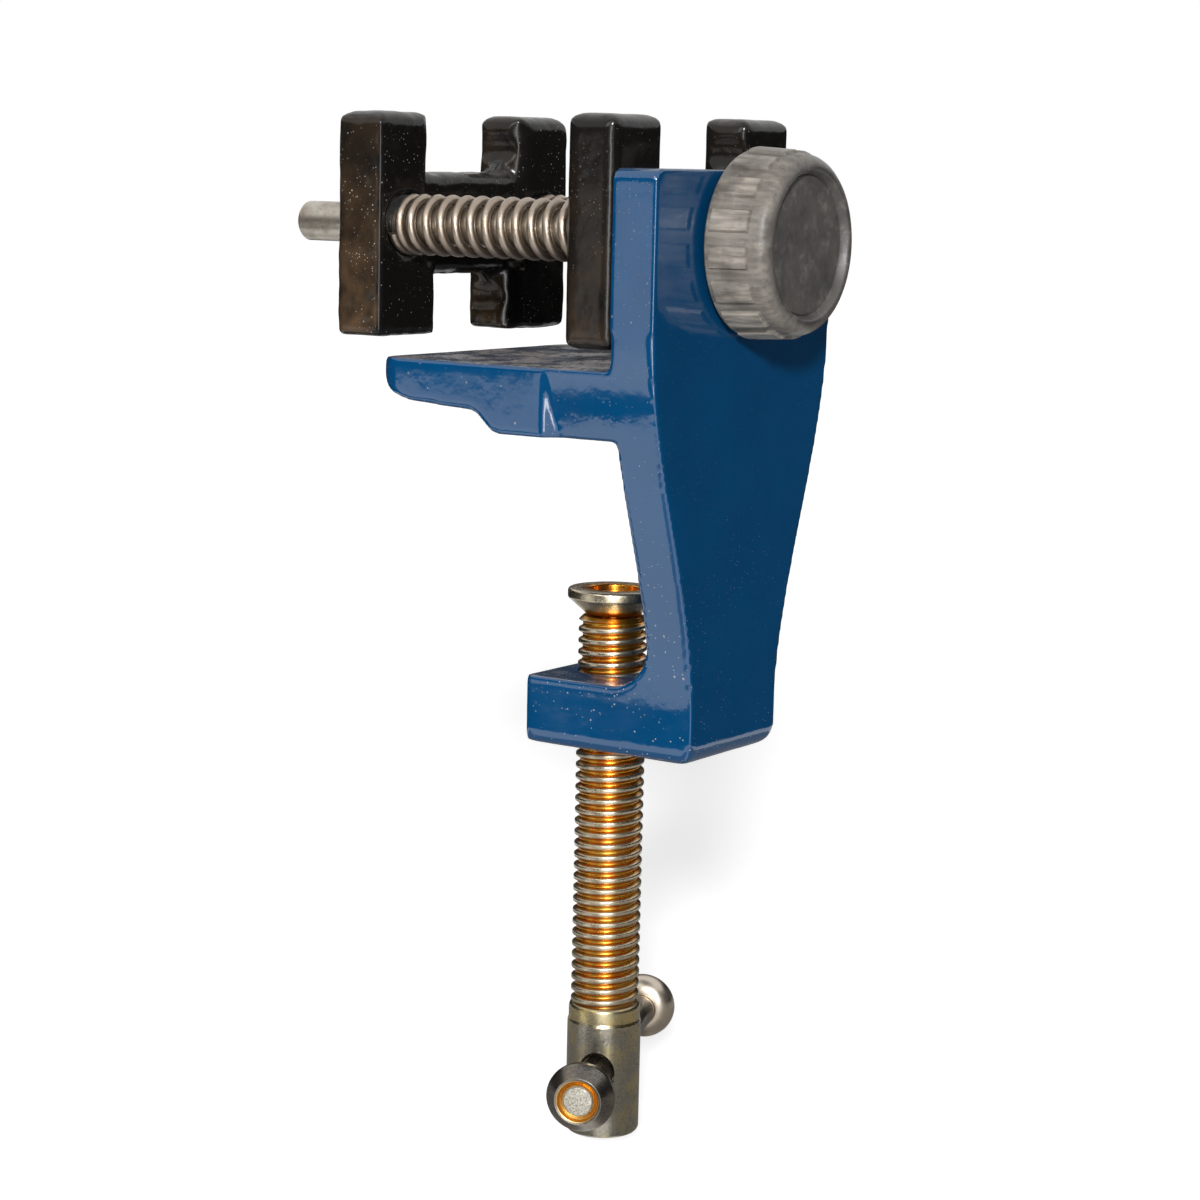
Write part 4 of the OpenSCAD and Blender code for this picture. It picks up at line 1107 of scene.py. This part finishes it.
class VISE_OT_stage(bpy.types.Operator):
    """Set up the camera, the pale floor and the lights"""

    bl_idname = "vise.stage"
    bl_label = "Stage"

    def execute(self, context):
        scene = context.scene
        scene.view_settings.view_transform = "Standard"
        for add in (self.add_camera, self.add_floor, self.add_screens, self.add_lights):
            add(scene, scene.vise_stage)
        return {"FINISHED"}

    def add_camera(self, scene, stage):
        """Camera at the photograph's place."""
        ahead = Vector((math.sin(stage.yaw) * math.cos(stage.pitch),
                        math.cos(stage.yaw) * math.cos(stage.pitch), -math.sin(stage.pitch)))
        level = Vector((math.cos(stage.yaw), -math.sin(stage.yaw), 0))
        upright = level.cross(ahead)
        right = math.cos(stage.roll) * level + math.sin(stage.roll) * upright
        up = math.cos(stage.roll) * upright - math.sin(stage.roll) * level
        data = bpy.data.cameras.new("camera")
        data.lens = stage.lens
        data.clip_start = 0.01
        camera = bpy.data.objects.new("camera", data)
        camera.matrix_world = at(*stage.camera, Matrix((right, up, -ahead)).transposed().to_4x4())
        scene.collection.objects.link(camera)
        scene.camera = camera

    def add_floor(self, scene, stage):
        """Round pale floor under the screw's head."""
        bm = bmesh.new()
        bmesh.ops.create_circle(bm, cap_ends=True, segments=96, radius=stage.floor_r,
                                matrix=Matrix.Translation((0, 0, HEAD_END - stage.floor_gap)))
        paint = Finish(bpy.data.materials.new("pale floor"))
        tone = paint.blend(paint.patches(0.5, 0.3, 0.7, 2.0), scene.vise_colours.floor, PALE_FLOOR)
        glow = paint.blend(paint.seen(), (0.0, 0.0, 0.0), [stage.floor_glow] * 3)
        paint.surface(Base_Color=tone, Roughness=0.9, Specular_IOR_Level=0.1, Emission_Color=glow,
                      Emission_Strength=1.0)
        floor = placed("floor", bm, paint.owner)

    def add_screens(self, scene, stage):
        """Dark screens and a grey mat, seen only in gloss, with gaps at the camera and at the left."""
        floor, top, back_top = HEAD_END - stage.floor_gap + 0.2 * MM, stage.screen_h, 0.7 * stage.screen_h
        gap_low, gap_top, side_top = -95 * MM, 46 * MM, -12 * MM
        mat_in, mat_r, mat_left_r = HEAD_R + MM, 200 * MM, 100 * MM
        dark, grey = 0, 1
        after_camera, left, left_mid, left_end, back, back_end, to_camera = 257, 290, 302, 318, 375, 460, 575
        walls = ((after_camera, left, floor, top), (left, left_end, floor, gap_low), (left, left_mid, gap_top, top),
                 (left_mid, left_end, side_top, top), (left_end, back, floor, top), (back, back_end, floor, back_top),
                 (back_end, to_camera, floor, top))
        mats = ((after_camera, left, mat_r), (left, left_end, mat_left_r), (left_end, to_camera, mat_r))
        parts = [(*sector, (stage.screen_r, low), (stage.screen_r, high), dark) for *sector, low, high in walls]
        parts += [(*sector, (mat_in, floor), (far, floor), grey) for *sector, far in mats]
        bm = bmesh.new()
        for start, end, first, second, slot in parts:
            at_end = Matrix.Rotation(-math.radians(end), 4, "Z")
            pair = [bm.verts.new(at_end @ Vector((0, *spot))) for spot in (first, second)]
            before = len(bm.faces)
            spun(bm, [*pair, bm.edges.new(pair)], math.radians(end - start), steps=24)
            bm.faces.ensure_lookup_table()
            for face in bm.faces[before:]:
                face.material_index = slot
        colours = scene.vise_colours
        paints = [Finish(bpy.data.materials.new(name)).surface(Base_Color=tone, Roughness=0.9, Specular_IOR_Level=0.0)
                  for name, tone in (("dark screen", colours.screen), ("grey mat", colours.mat))]
        screens = placed("screens", bm, *paints)
        screens.visible_camera = screens.visible_diffuse = screens.visible_shadow = False
        screens.visible_transmission = False

    def add_lights(self, scene, stage):
        """Soft key light, softbox, strip, and a world that is white to look at and dimmer as a light."""
        world = Finish(bpy.data.worlds.new("studio"), "BACKGROUND")
        scene.world = world.surface(Color=(1.0, 1.0, 1.0), Strength=world.seen() * (1.0 - stage.fill) + stage.fill)
        panel = {"shape": "RECTANGLE"}
        for name, kind, energy, place, settings in (
                ("key", "SUN", stage.sun, (-0.80, -0.50, 0.34), {"angle": math.radians(6)}),
                ("softbox", "AREA", stage.softbox, (-0.85, 0.1, 0.35), {**panel, "size": 0.35, "size_y": 0.6}),
                ("strip", "AREA", stage.strip, (-0.53, -0.33, -0.05), {**panel, "size": 0.12, "size_y": 0.34})):
            light = bpy.data.lights.new(name, kind)
            light.energy = energy
            for setting, value in settings.items():
                setattr(light, setting, value)
            lamp = bpy.data.objects.new(name, light)
            lamp.matrix_world = at(*place, (-Vector(place)).to_track_quat("-Z", "Y").to_matrix().to_4x4())
            lamp.visible_diffuse = name != "strip"
            scene.collection.objects.link(lamp)


OPERATORS = (VISE_OT_stage, VISE_OT_casting, VISE_OT_jaws, VISE_OT_rods, VISE_OT_springs, VISE_OT_lead_screw,
             VISE_OT_knob, VISE_OT_clamp_screw, VISE_OT_tommy_bar)


class VISE_PT_pieces(bpy.types.Panel):
    """Pieces of the vise"""

    bl_idname = "VISE_PT_pieces"
    bl_label = "Watch Case Vise"
    bl_space_type = "VIEW_3D"
    bl_region_type = "UI"
    bl_category = "Vise"

    def draw(self, context):
        for operator in OPERATORS:
            self.layout.operator(operator.bl_idname)


GROUPS = {"vise_sizes": ViseSizes, "vise_colours": ViseColours, "vise_stage": ViseStage}


def register():
    for item in (*GROUPS.values(), *OPERATORS, VISE_PT_pieces):
        bpy.utils.register_class(item)
    for name, group in GROUPS.items():
        setattr(bpy.types.Scene, name, PointerProperty(type=group))


def unregister():
    for name in GROUPS:
        delattr(bpy.types.Scene, name)
    for item in reversed((*GROUPS.values(), *OPERATORS, VISE_PT_pieces)):
        bpy.utils.unregister_class(item)


def main():
    register()
    for operator in OPERATORS:
        group, name = operator.bl_idname.split(".")
        getattr(getattr(bpy.ops, group), name)()


if __name__ == "__main__":
    main()
